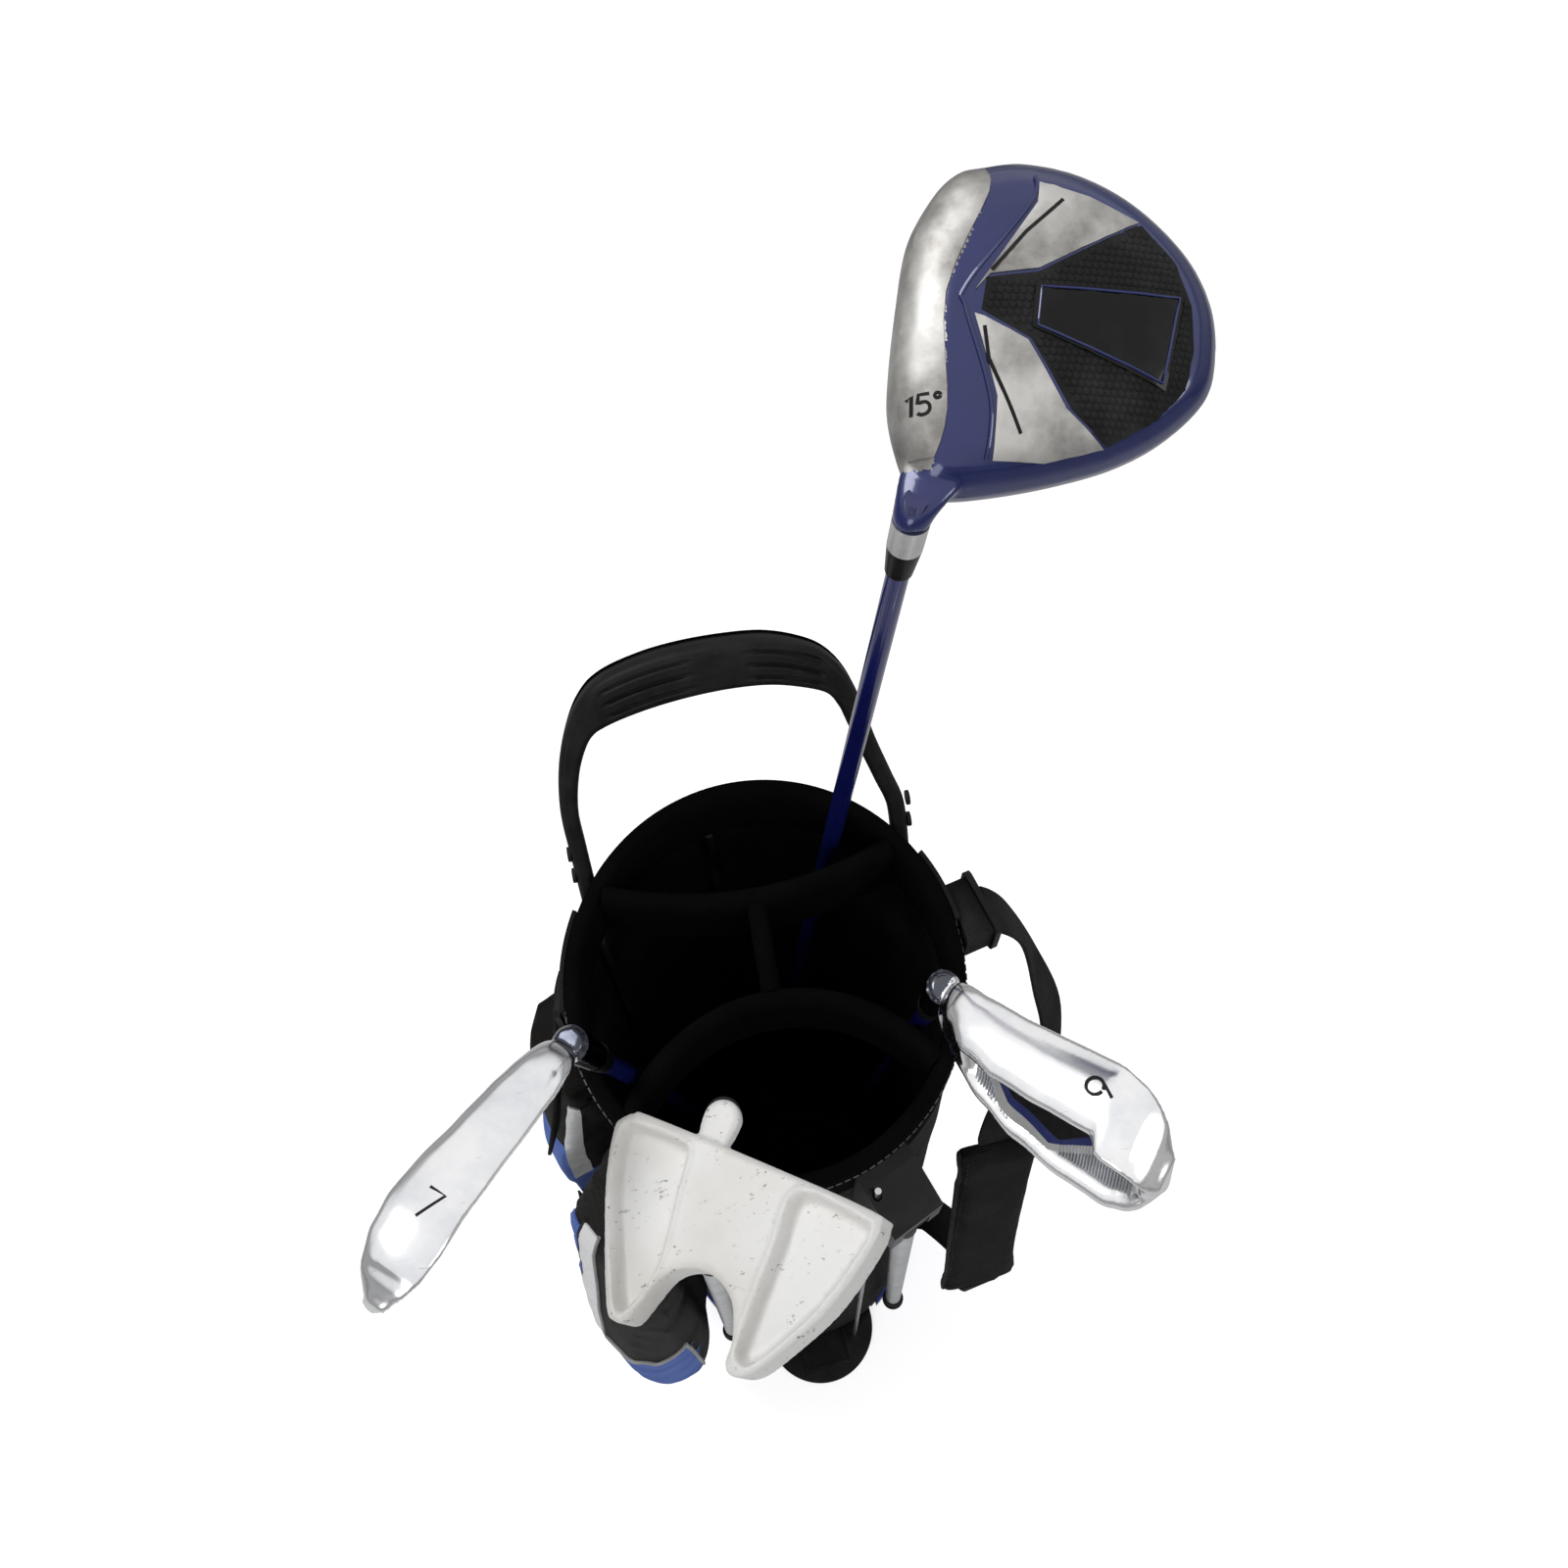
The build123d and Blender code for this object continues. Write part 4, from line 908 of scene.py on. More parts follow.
ironSizes = {
    "iron_7": {
        "lead": [(-5, 0), (-3.5, 3.6), (0, 7), (6, 9.6), (12, 11), (20, 12), (45, 13), (70, 14), (90, 16),
                 (100, 15.5), (107, 11.5), (111, 6)],
        "trail": [(-5, -2), (-3.5, -5), (0, -7.5), (6, -8.6), (12, -9.4), (20, -10.4), (30, -11.5),
                  (48, -12.5), (66, -14), (80, -14), (92, -12), (103, -8.5), (109, -4), (111, 0)],
        "leadDrop": [(-5, -15), (-3.5, -9.5), (0, -5), (6, -2), (14, -0.4), (24, 0), (84, 0), (96, -2),
                     (103, -6), (108, -12), (111, -19)],
        "topDrop": [(-8, -20), (-3, -24), (3, -25), (14, -28), (30, -33), (60, -39), (84, -42), (96, -40),
                    (103, -36), (108, -30), (111, -24)],
        "shadedNeckTo": -1.0, "slope": 0.62, "camber": 2.6, "wall": 4.2, "rimWall": 3.4,
        "hosel": 705.0, "hoselEnd": 757.0, "cavityFrom": 16, "cavityTo": 103,
    },
    "iron_9": {
        "lead": [(-4, 0), (-2.5, 3), (1, 4.6), (6, 4.6), (20, 2.4), (40, 0.6), (60, 0), (78, -0.5),
                 (90, -3.5), (98, -8), (103, -14), (106, -22)],
        "trail": [(-4, -2), (-2.5, -6), (1, -10), (6, -14.5), (20, -23), (36, -27), (57, -29), (78, -30.2),
                  (80.5, -30.4), (83.5, -36.2), (86, -37), (94, -37.4), (101, -38), (104, -37), (106, -33)],
        "leadDrop": [(-4, -15), (-2.5, -9), (1, -4.5), (6, -1.8), (14, -0.4), (24, 0), (80, 0), (92, -3),
                     (99, -8), (103, -14), (106, -22)],
        "topDrop": [(-8, -19), (-3, -22), (3, -23), (12, -26), (26, -32), (43, -37), (66, -41), (84, -42),
                    (94, -40), (100, -36), (104, -31), (106, -27)],
        "shadedNeckTo": -2.0, "slope": 0.95, "camber": 2.4, "wall": 4.2, "rimWall": 3.6,
        "hosel": 677.0, "hoselEnd": 727.0, "cavityFrom": 14, "cavityTo": 102,
    },
}


def softValue(table, x, reach=3.2):
    # the table's curve with its corners eased
    low, high = table[0][0], table[-1][0]
    spots = [max(low, min(high, x + reach * k / 4)) for k in range(-4, 5)]
    return sum(curveValue(table, spot) for spot in spots) / len(spots)


def ironSection(facts, h):
    # outline across the blade at one place along it, (toward the face, out of the sole)
    lead, trail = softValue(facts["lead"], h), softValue(facts["trail"], h, 1.6)
    leadN, topN = softValue(facts["leadDrop"], h), softValue(facts["topDrop"], h)
    slope, camber, wall = facts["slope"], facts["camber"], facts["wall"]
    size = math.hypot(slope, 1)
    back = (-1 / size, slope / size)

    def faceAt(n):
        return lead + slope * (n - leadN)

    def behind(n, depth):
        return faceAt(n) + back[0] * depth, n + back[1] * depth

    opening = max(0.0, min(1.0, (h - facts["cavityFrom"]) / 9, (facts["cavityTo"] - h) / 7))
    opening = opening * opening * (3 - 2 * opening)  # 0 at both ends of the cavity, 1 along its middle
    trailN = leadN - 0.8
    full = facts["rimWall"] + 6.0
    points = [(lead + 0.2, leadN - 1.6), (lead - 0.8, leadN - 0.1)]
    for t in (0.2, 0.4, 0.6, 0.8):
        bow = camber * 4 * t * (1 - t) * (0.5 if leadN < -6 else 1)
        points.append((lead + (trail - lead) * t, leadN + bow))
    points += [(trail + 0.9, trailN + 0.6), (trail, trailN - 1.4), (trail + 1.0, trailN - 4.4)]
    span = topN - leadN
    for share in (0.2, 0.34, 0.5, 0.66, 0.8):
        f1, n1 = behind(leadN + span * share - 3.0, wall)
        rimF, rimN = behind(leadN + span * 0.92, full * 0.62)
        t = (share - 0.1) / 0.8
        f0 = trail + 1.0 + (rimF - trail - 1.0) * t
        n0 = trailN - 4.4 + (rimN - trailN + 4.4) * t
        points.append((f0 + (f1 - f0) * opening, n0 + (n1 - n0) * opening))
    lip = facts["rimWall"] + 2.6
    points += [behind(topN + 5.0, lip * 0.9), behind(topN + 2.6, lip * 1.15), behind(topN + 0.4, lip * 0.9),
               behind(topN - 0.8, lip * 0.3), (faceAt(topN + 0.8), topN + 0.8)]
    for share in (0.75, 0.5, 0.25):
        n = leadN + span * share
        points.append((faceAt(n), n))
    return points


def buildIron(name):
    facts = ironSizes[name]
    place, shaftPoint, along = clubFrame(name)
    first, last = facts["lead"][0][0], facts["lead"][-1][0]
    stations = [first + (last - first) * (k / 90) for k in range(91)]
    rings = [[place(h, f, n) for f, n in ironSection(facts, h)] for h in stations]
    blade = loft(name + "Blade", rings)
    top = facts["hosel"]
    hosel = loft(name + "Hosel", coneRings(shaftPoint, along, [
        (top + 0.1, 6.2), (top + 12, 6.5), (top + 26, 7.2), (top + 36, 7.8), (facts["hoselEnd"] - 18, 7.4),
        (facts["hoselEnd"] - 13, 5.6)]))
    mesh = joined(name + "Head", [blade, hosel], voxel=0.8, smooth=14)
    mesh.materials.append(wornChrome)
    mesh.materials.append(shadedNeckChrome)
    turned = frameInverse(place)
    # the hosel and the heel end of the blade get the darker chrome, as painted shade on the neck
    for polygon in mesh.polygons:
        if turned(polygon.center)[0] < facts["shadedNeckTo"]:
            polygon.material_index = 1
    head = addPiece(mesh, name, wornChrome, (name + "_head",))
    return place, bodyTree(head)


placeSeven, sevenTree = buildIron("iron_7")
placeNine, nineTree = buildIron("iron_9")
strokeGlyph("ironSevenMark", sevenTree, placeSeven, [
    [(74.0, -1.5), (73.9, 5.0), (84.8, 1.3)],
], 1.1, "iron_7")
strokeGlyph("ironNineMark", nineTree, placeNine, [
    arcPoints(74.4, -13.8, 3.3, 3.3, 0, 360, 28)[:-1],
    [(77.0, -11.6), (81.8, -15.1)],
], 1.2, "iron_9", lift=0.4)


nineSizes = {
    "floorWide": 22, "patchThick": 0.5, "ribPitch": 1.3, "ribRadius": 0.42, "ribLift": 0.5,
    "patches": {
        "nineBadgeBack": (satinSilver, 0.2, [(22, 0.1), (34, 0.95), (58, 1.0), (84, 0.35), (80, 0.0),
                                             (24, 0.0)]),
        "nineBadgeBlue": (crownBlue, 0.6, [(27, 0.1), (38, 0.62), (58, 0.84), (78, 0.3), (74, 0.05)]),
        "nineBadgeBlack": (glossBlack, 1.0, [(30, 0.0), (40, 0.4), (62, 0.62), (75, 0.18), (72, 0.0)]),
    },
    "ribs": {"nineHeelRibs": (0.05, 0.95, 19, 33), "nineToeRibs": (0.15, 0.95, 63, 94)},
}


def cavityFloor(h, t, lift):
    # a point on the 9-iron's cavity floor: t runs from the sole side (0) to the top line (1)
    facts = ironSizes["iron_9"]
    slope = facts["slope"]
    lead, leadN = curveValue(facts["lead"], h), curveValue(facts["leadDrop"], h)
    topN = curveValue(facts["topDrop"], h)
    n = leadN + (topN - leadN) * (0.42 + 0.36 * t) - 3.0
    size = math.hypot(slope, 1)
    deep = facts["wall"] + lift
    return placeNine(h, lead + slope * (n - leadN) - deep / size, n + slope / size * deep)


def nineCavity():
    # a bare badge and ribbed inserts on the cavity's floor
    sizes = nineSizes
    wide = sizes["floorWide"]
    for name, (material, lift, corners) in sizes["patches"].items():
        verts, faces = flatFill([(h, t * wide) for h, t in corners], 1.6)
        top = [cavityFloor(h, t / wide, lift + sizes["patchThick"]) for h, t in verts]
        low = [cavityFloor(h, t / wide, lift - 0.4) for h, t in verts]
        addPiece(closedSheet(name, top, low, faces, 50), "iron_9", material)
    for name, (low, high, first, last) in sizes["ribs"].items():
        h = first
        rods = []
        while h < last:
            a, b = cavityFloor(h, low, sizes["ribLift"]), cavityFloor(h, high, sizes["ribLift"])
            rods.append(tube(name + "Rod", [a, (a + b) / 2, b], sizes["ribRadius"], sides=6))
            h += sizes["ribPitch"]
        addPiece(joined(name, rods), "iron_9", greyMoulded)


nineCavity()
print("irons made")

putterSizes = {
    "outline": [(-42, -20), (-40.5, -15), (-36, -11.5), (-30, -10.5), (20, -12), (68, -14.5), (74, -18),
                (73, -30), (66, -52), (55, -71), (47, -82), (40, -85), (36, -82), (35.5, -74), (30, -62),
                (20, -56.5), (10, -57.5), (2, -63), (-2.5, -74), (-6, -83), (-11, -84.5), (-16, -81),
                (-28, -58), (-37, -38)],
    "nearPan": [(-38.5, -21), (-34.5, -15.5), (-11, -15.5), (-7, -20), (-5.5, -32), (-1.5, -62),
                (-7.5, -79.5), (-12.5, -79.5), (-25.5, -57), (-34.5, -38)],
    "farPan": [(40, -17.5), (67, -18.5), (71, -21), (70, -30), (63, -51), (53, -69), (45, -80), (39.5, -79),
               (38, -72), (38.5, -40)],
    "wall": 17.0, "panDepth": 7.5, "panSlope": 2.2, "rimRise": 1.1, "rimWide": 2.6, "edge": 2.2,
    "tab": [(-9, 7.5), (-5, 7.8), (-3.4, 7.2), (-2.8, 5.5)], "tabLong": 8,
    "hosel": [(686.1, 6.2), (698, 6.8), (706, 7.2), (711, 7.2)],
}


def rounded(outline):
    return [(p.x, p.y) for p in smoothPath([(*p, 0) for p in outline], 4, closed=True)]


def buildPutter():
    facts = putterSizes
    place, shaftPoint, along = clubFrame("putter")
    outline = rounded(facts["outline"])
    pans = [rounded(facts["nearPan"]), rounded(facts["farPan"])]
    verts, faces = flatFill(outline, 1.7)

    def height(h, f):
        # sunk in the two pans, raised round them and rounded off at the outline
        rise = 0.0
        for pan in pans:
            away = edgeDistance((h, f), pan)
            if inside((h, f), pan):
                t = min(1.0, away / facts["panSlope"])
                return -facts["panDepth"] * t * t * (3 - 2 * t) + facts["rimRise"] * (1 - t)
            if away < facts["rimWide"]:
                t = away / facts["rimWide"]
                rise = max(rise, facts["rimRise"] * (1 - t * t * (3 - 2 * t)))
        away = edgeDistance((h, f), outline)
        if away < facts["edge"]:
            t = 1 - away / facts["edge"]
            rise -= facts["edge"] * 0.6 * (1 - math.sqrt(max(0.0, 1 - t * t)))
        return rise

    top = [place(h, f, height(h, f)) for h, f in verts]
    low = [place(h, f, -facts["wall"]) for h, f in verts]
    body = closedSheet("putterBody", top, low, faces)
    tab = []
    for n, r in facts["tab"]:
        ring = []
        for k in range(40):
            a = 2 * math.pi * k / 40
            reach = r if math.sin(a) > 0 else r + facts["tabLong"]
            ring.append(place(-1.5 + r * math.cos(a), -2 + reach * math.sin(a), n))
        tab.append(ring)
    addPiece(loft("putterHosel", coneRings(shaftPoint, along, facts["hosel"])), "putter", glossBlack)
    mesh = joined("putterHead", [body, loft("putterTab", tab)], voxel=0.8, smooth=3)
    return addPiece(mesh, "putter", putterPaint, ("putter_head",))


buildPutter()
print("putter made")

# the bag's sizes, in mm and degrees
bag = {
    "tilt": 18.0, "collar": 680.0, "shift": -10.0, "rx": 92.0, "ry": 89.4, "deep": 34.0,
    "shellFoot": 96.0, "shellRx": 91.0, "shellRy": 88.0, "shellWall": 3.0, "shellLow": 46.0,
}
tilt = math.radians(bag["tilt"])


def collarZ(y, drop=0.0):
    return bag["collar"] + y * math.tan(tilt) - drop


def ringPoint(angle, inset, z):
    rx, ry = bag["rx"] - inset, bag["ry"] - inset
    return Vector((bag["shift"] + rx * math.cos(angle), ry * math.sin(angle), z)) * mm


def buildRing():
    # the padded collar, its section as (inset, drop) from the outer top edge
    rings = []
    deep = bag["deep"]
    section = [(0.3, deep), (0.0, deep - 3), (-0.2, deep * 0.6), (0.0, 7), (0.6, 4.5), (0.5, 2.4), (1.4, 0.7),
               (3.0, 0.0), (4.8, -0.1), (6.4, 0.6), (7.6, 2.2), (8.1, 5), (8.0, deep * 0.5), (8.0, deep - 3),
               (7.7, deep)]
    for k in range(144):
        angle = 2 * math.pi * k / 144
        ring = []
        for inset, drop in section:
            puff = 0.5 * noise.noise(Vector((math.cos(angle) * 2.1, math.sin(angle) * 2.1, drop * 0.05)))
            p = ringPoint(angle, inset + (puff if 1 < inset < 7 else max(0, puff)), 0)
            ring.append(Vector((p.x, p.y, collarZ(p.y / mm, drop) * mm)))
        rings.append(ring)
    rings.append(rings[0])
    return loft("collarRing", rings, caps=False, sharp=60)


collarRing = addPiece(buildRing(), "bag", fleece, ("top_ring",))
seam = []
for k in range(180):
    angle = 2 * math.pi * k / 180
    p = ringPoint(angle, -0.15, 0)
    seam.append(Vector((p.x, p.y, collarZ(p.y / mm, 6.2) * mm)))
stitches("collarStitches", seam, "bag", greyStitch, closed=True, Pitch=0.0042, Thread=0.00035, Length=0.0030)

dividerSizes = {
    "wall": 8.0, "deep": 34.0, "swell": 0.5, "reach": 76.0, "past": 8, "clear": 7.0, "limit": 84.0,
    "backEdge": 53.0, "backSag": 37.0, "frontEdge": -50.0, "frontSag": -8.0, "centre": 1.5, "centreGap": 3.5,
}


def arcY(edge, sag, reach, x):
    # circle through both ends and the middle
    rise = edge - sag
    radius = (reach * reach + rise * rise) / (2 * abs(rise))
    return sag + math.copysign(radius - math.sqrt(max(0.0, radius * radius - x * x)), rise)


def wallSection():
    # across a divider as (offset, drop), its top rounded and its upper sides a little swollen
    half, deep, swell = dividerSizes["wall"] / 2, dividerSizes["deep"], dividerSizes["swell"]
    side = [(half * 0.25, 0.1), (half * 0.7, 0.9), (half + swell * 0.6, 3), (half + swell, 6),
            (half, deep * 0.5), (half, deep)]
    return [(-offset, drop) for offset, drop in reversed(side)] + side


def buildDivider(name, path):
    rings = []
    for i, (x, y) in enumerate(path):
        a, b = path[max(i - 1, 0)], path[min(i + 1, len(path) - 1)]
        size = math.hypot(b[0] - a[0], b[1] - a[1])
        nx, ny = -(b[1] - a[1]) / size, (b[0] - a[0]) / size
        ring = []
        for offset, drop in wallSection():
            px, py = x + nx * offset, y + ny * offset
            ring.append(Vector((px + bag["shift"], py, collarZ(py, drop))) * mm)
        rings.append(ring)
    return loft(name, rings, sharp=60)


def arcPath(edge, sag, reach):
    # a curved divider's run, stopped inside the ring
    past, clear = dividerSizes["past"], dividerSizes["clear"]
    path = []
    for k in range(61):
        x = -reach - past + 2 * (reach + past) * k / 60
        y = arcY(edge, sag, reach, x)
        within = (x / (bag["rx"] - clear)) ** 2 + (y / (bag["ry"] - clear)) ** 2 < 1
        if within and abs(x) < dividerSizes["limit"]:
            path.append((x, y))
    return path


def centrePath():
    # the straight divider between the two curved ones
    start = dividerSizes["frontSag"] + dividerSizes["centreGap"]
    run = dividerSizes["backSag"] - dividerSizes["centreGap"] - start
    return [(dividerSizes["centre"], start + run * k / 12) for k in range(13)]


def addDivider(name, cadNode, path):
    addPiece(buildDivider(name, path), "bag", fleece, (cadNode,))


reach = dividerSizes["reach"]
addDivider("dividerBack", "divider_back", arcPath(dividerSizes["backEdge"], dividerSizes["backSag"], reach))
addDivider("dividerFront", "divider_front",
           arcPath(dividerSizes["frontEdge"], dividerSizes["frontSag"], reach - 3))
addDivider("dividerCentre", "divider_centre", centrePath())


def shellPoint(angle, z, grow):
    share = (z - bag["shellLow"]) / (bag["collar"] - bag["shellLow"])
    rx = bag["shellFoot"] + (bag["shellRx"] - bag["shellFoot"]) * share + grow
    ry = bag["shellFoot"] + (bag["shellRy"] - bag["shellFoot"]) * share + grow
    return Vector((bag["shift"] * z / bag["collar"] + rx * math.cos(angle), ry * math.sin(angle), z)) * mm


def buildShell():
    # one sewn tube with a wall, soft wrinkles and a slight sag between the stays
    count, rows = 160, 90
    outer, inner = [], []
    for r in range(rows + 1):
        ringOut, ringIn = [], []
        for k in range(count):
            angle = 2 * math.pi * k / count
            topZ = bag["collar"] - bag["deep"] + bag["ry"] * 0.98 * math.sin(angle) * math.tan(tilt)
            z = bag["shellLow"] + (topZ - bag["shellLow"]) * r / rows
            ends = min(1.0, r / 8, (rows - r) / 6)
            fold = noise.noise(Vector((math.cos(angle) * 2.2, math.sin(angle) * 2.2, z * 0.016)))
            crease = noise.noise(Vector((math.cos(angle) * 5 + 7, math.sin(angle) * 5, z * 0.05)))
            dent = -ends * (0.9 + 1.1 * fold + 0.5 * crease)
            ringOut.append(shellPoint(angle, z, min(0.0, dent)))
            ringIn.append(shellPoint(angle, z, min(0.0, dent) - bag["shellWall"] + 0.8))
        outer.append(ringOut)
        inner.append(ringIn)
    rings = outer + inner[::-1] + [outer[0]]
    return loft("bagShell", rings, caps=False, sharp=60)


bagShell = addPiece(buildShell(), "bag", bagCloth, ("body_shell",))

handleSizes = {
    "lean": 30.0, "deep": 9.5, "barDeep": 16.0,
    "pairs": [((-78, -20), (-70, -20)), ((-78.5, 8), (-70.5, 8)), ((-78.5, 30), (-70.5, 28)),
              ((-75, 52), (-67, 46)), ((-69, 70), (-61.5, 60)), ((-61, 84), (-56, 68)),
              ((-50, 93), (-48, 72)), ((-33, 98.5), (-32, 76)), ((-16, 101), (-15, 78.5)),
              ((3, 101.5), (3, 79.5)), ((21, 100), (20, 78.5)), ((36, 95), (34, 75)), ((47, 88), (45, 70)),
              ((55, 77), (50, 62)), ((60.5, 62), (53, 53)), ((66, 41), (58, 37)), ((72, 22), (64, 19)),
              ((77, 5), (69, 3)), ((78, -20), (70, -20))],
    "grooves": [(-50, -12), (13, 45)], "grooveAt": (-0.26, 0.02, 0.30), "corner": 3.2, "footOut": 63.0,
}


def buildHandle():
    lean = math.radians(handleSizes["lean"])
    footY = handleSizes["footOut"] * math.cos(tilt)
    origin = Vector((bag["shift"], footY + 4, collarZ(footY))) * mm
    right = Vector((1, 0, 0))
    up = Vector((0, math.sin(lean), math.cos(lean)))
    out = Vector((0, -math.cos(lean), math.sin(lean)))
    outerPath = smoothPath([(*p[0], 0) for p in handleSizes["pairs"]], 8)
    innerPath = smoothPath([(*p[1], 0) for p in handleSizes["pairs"]], 8)
    rounds = [(math.cos(math.radians(a)), math.sin(math.radians(a))) for a in (22, 45, 68)]
    rings = []
    for o, i in zip(outerPath, innerPath):
        width = (o - i).length
        bar = max(0.0, min(1.0, (width - 12) / 7))
        deep = handleSizes["deep"] + (handleSizes["barDeep"] - handleSizes["deep"]) * bar
        middle = (o.x + i.x) / 2
        cut = 0.0
        for low, high in handleSizes["grooves"]:
            cut = max(cut, min(1.0, (middle - low) / 2.0, (high - middle) / 2.0))
        cut = max(0.0, cut) * bar
        half = width / 2
        centre = (o + i) / 2
        way = (o - i).normalized()
        corner = min(handleSizes["corner"], width * 0.34)
        front = []
        for k in range(41):
            x = -half + corner + (width - 2 * corner) * k / 40
            groove = 0.0
            for share in handleSizes["grooveAt"]:
                groove += max(0.0, 1 - abs(x - share * width) / 1.3)
            crown = 0.9 * bar * (1 - (x / half) ** 2)
            front.append((x, deep / 2 - 0.9 + crown - 1.5 * cut * min(1.0, groove * 1.6)))
        shape = front[::-1]
        shape += [(-half + corner - corner * c2, deep / 2 - 0.9 - corner + corner * s2) for s2, c2 in rounds]
        shape += [(-half, 0)]
        shape += [(-half + corner - corner * c2, -deep / 2 + corner - corner * s2) for c2, s2 in rounds]
        shape += [(-half + corner, -deep / 2), (0, -deep / 2), (half - corner, -deep / 2)]
        shape += [(half - corner + corner * s2, -deep / 2 + corner - corner * c2) for s2, c2 in rounds]
        shape += [(half, 0)]
        shape += [(half - corner + corner * c2, deep / 2 - 0.9 - corner + corner * s2) for c2, s2 in rounds]
        rings.append([origin + (right * (centre.x + way.x * x) + up * (centre.y + way.y * x) + out * y) * mm
                      for x, y in shape])
    return loft("carryHandle", rings, sharp=50)


addPiece(buildHandle(), "bag", mouldedBlack, ("handle",))
for cadNode, material in (("base_cup", mouldedBlack), ("base_band", blueMoulded), ("rocker_pin", brightSteel),
                          ("floor_pad", foam), ("stay_rods", glassFibre), ("handle_rivets", mouldedBlack),
                          ("hinge_housing_left", glossBlack), ("hinge_housing_right", glossBlack),
                          ("hinge_pins", brightSteel), ("strap_adjuster", mouldedBlack),
                          ("left_buckle", mouldedBlack),
                          ("rocker_foot", glossBlack), ("push_rods", brightSteel), ("zip_pull", greyMoulded),
                          ("zip_track", sewnWebbing), ("strap_ring_web", sewnWebbing),
                          ("left_ring_web", sewnWebbing), ("strap_fold", sewnWebbing)):
    repaint(cadNode, material)
for sideName in ("left", "right"):
    repaint("leg_knuckle_" + sideName, mouldedBlack)
    repaint("leg_tube_" + sideName, legMetal)
    repaint("leg_tip_" + sideName, rubberBlack)
print("bag body made")

# stations are (place, way across)
straps = {
    "strap_webbing": {
        "body": "bag", "from": "strap_fold", "width": 26.0, "thick": 2.0, "material": webbingCloth,
        "stations": [((100.0, 20, 668), (-0.24, 0.97, 0)), ((114, 17, 650), (-0.15, 0.98, 0)),
                     ((130, 8, 602), (0.25, 0.96, 0)), ((142, -8, 556), (0.6, 0.8, 0)),
                     ((132, -32, 524), (0.9, 0.42, 0)), ((110.5, -50, 516), (1, 0.1, 0)),
                     ((109.1, -54.1, 503.4), (1, 0.08, 0))]},
    "strap_anchor": {
        "body": "bag", "from": "strap_pad", "width": 26.0, "thick": 2.0, "material": webbingCloth,
        "stations": [((107.5, -105.5, 296.5), (1, 0.08, 0)), ((116, -100, 262), (0.95, 0.3, 0)),
                     ((116, -72, 228), (0.8, 0.6, 0)), ((100, -43.5, 204), (0.5, 0.87, 0)),
                     ((92.6, -34, 178), (0.32, 0.95, 0))]},
    "left_tail": {
        "body": "bag", "from": "left_buckle", "width": 25.0, "thick": 2.0, "material": webbingCloth,
        "stations": [((-106.8, 21.7, 656), (0.23, 0.973, 0)), ((-112, 13, 636), (0.1, 0.99, 0)),
                     ((-119, -5, 598), (0.2, 0.97, 0.1)), ((-128, -24, 566), (0.3, 0.95, 0.1))]},
}
for cadNode, facts in straps.items():
    rings = strapRings(facts["stations"], facts["width"], facts["thick"], 0.7, steps=8)
    mesh = loft(cadNode + "Web", rings, sharp=50)
    web = addPiece(mesh, facts["body"], facts["material"], (cadNode,))
    run = [Vector(place) for place, way in facts["stations"]]
    length = sum((b - a).length for a, b in zip(run, run[1:]))
print("straps made")

# how the soft pieces are swelled
cloth = {"quality": 5, "mass": 0.3, "pressure": 4.0, "moments": 20, "smooth": 6}
# axis, voxel, shrink and cap are in mm, zipLow to zipFlat in metres,
# and a swell is (first and last degree, low and high mm, most mm)
pockets = {
    "axis": -4.4, "zipAt": -172, "zipAside": -82, "zipLow": 0.16, "zipHigh": 0.42, "zipFlat": 0.1352,
    "voxel": 5.0, "shrink": 2.5, "cap": 4.0,
    "frontSwell": (186, 232, 150, 520, 8.0), "sideSwell": (158, 208, 130, 500, 8.0),
}


def shellOutside(p):
    # moves a point out to 0.4 mm off the sewn shell's outer face
    gap = 0.4
    z = p.z / mm
    if z > bag["collar"] + p.y / mm * math.tan(tilt) - bag["deep"] + 2:
        return p
    share = max(-0.1, (z - bag["shellLow"]) / (bag["collar"] - bag["shellLow"]))
    rx = bag["shellFoot"] + (bag["shellRx"] - bag["shellFoot"]) * share + gap
    ry = bag["shellFoot"] + (bag["shellRy"] - bag["shellFoot"]) * share + gap
    cx = bag["shift"] * z / bag["collar"]
    x, y = p.x / mm - cx, p.y / mm
    reach = math.hypot(x / rx, y / ry)
    if reach >= 1 or reach < 0.2:
        return p
    return Vector((cx + x / reach, y / reach, z)) * mm


def merged(cadNode):
    work = bmesh.new()
    work.from_mesh(nodes[cadNode].data)
    bmesh.ops.remove_doubles(work, verts=work.verts, dist=1e-6)
    mesh = bpy.data.meshes.new(cadNode + "Copy")
    work.to_mesh(mesh)
    work.free()
    return mesh


def swelled(name, mesh):
    # where the points of a closed piece go under a gentle pressure
    obj = bpy.data.objects.new(name + "Cloth", mesh)
    scene = bpy.context.scene
    scene.collection.objects.link(obj)
    modifier = obj.modifiers.new("cloth", "CLOTH")
    modifier.settings.quality = cloth["quality"]
    modifier.settings.mass = cloth["mass"]
    modifier.settings.use_pressure = True
    modifier.settings.uniform_pressure_force = cloth["pressure"]
    modifier.settings.effector_weights.gravity = 0.0
    modifier.point_cache.frame_start = 1
    modifier.point_cache.frame_end = cloth["moments"]
    for moment in range(1, cloth["moments"] + 1):
        scene.frame_set(moment)
    result = obj.evaluated_get(bpy.context.evaluated_depsgraph_get()).to_mesh()
    moved = [v.co.copy() for v in result.vertices]
    obj.modifiers.clear()
    bpy.data.objects.remove(obj)
    scene.frame_set(1)
    return moved


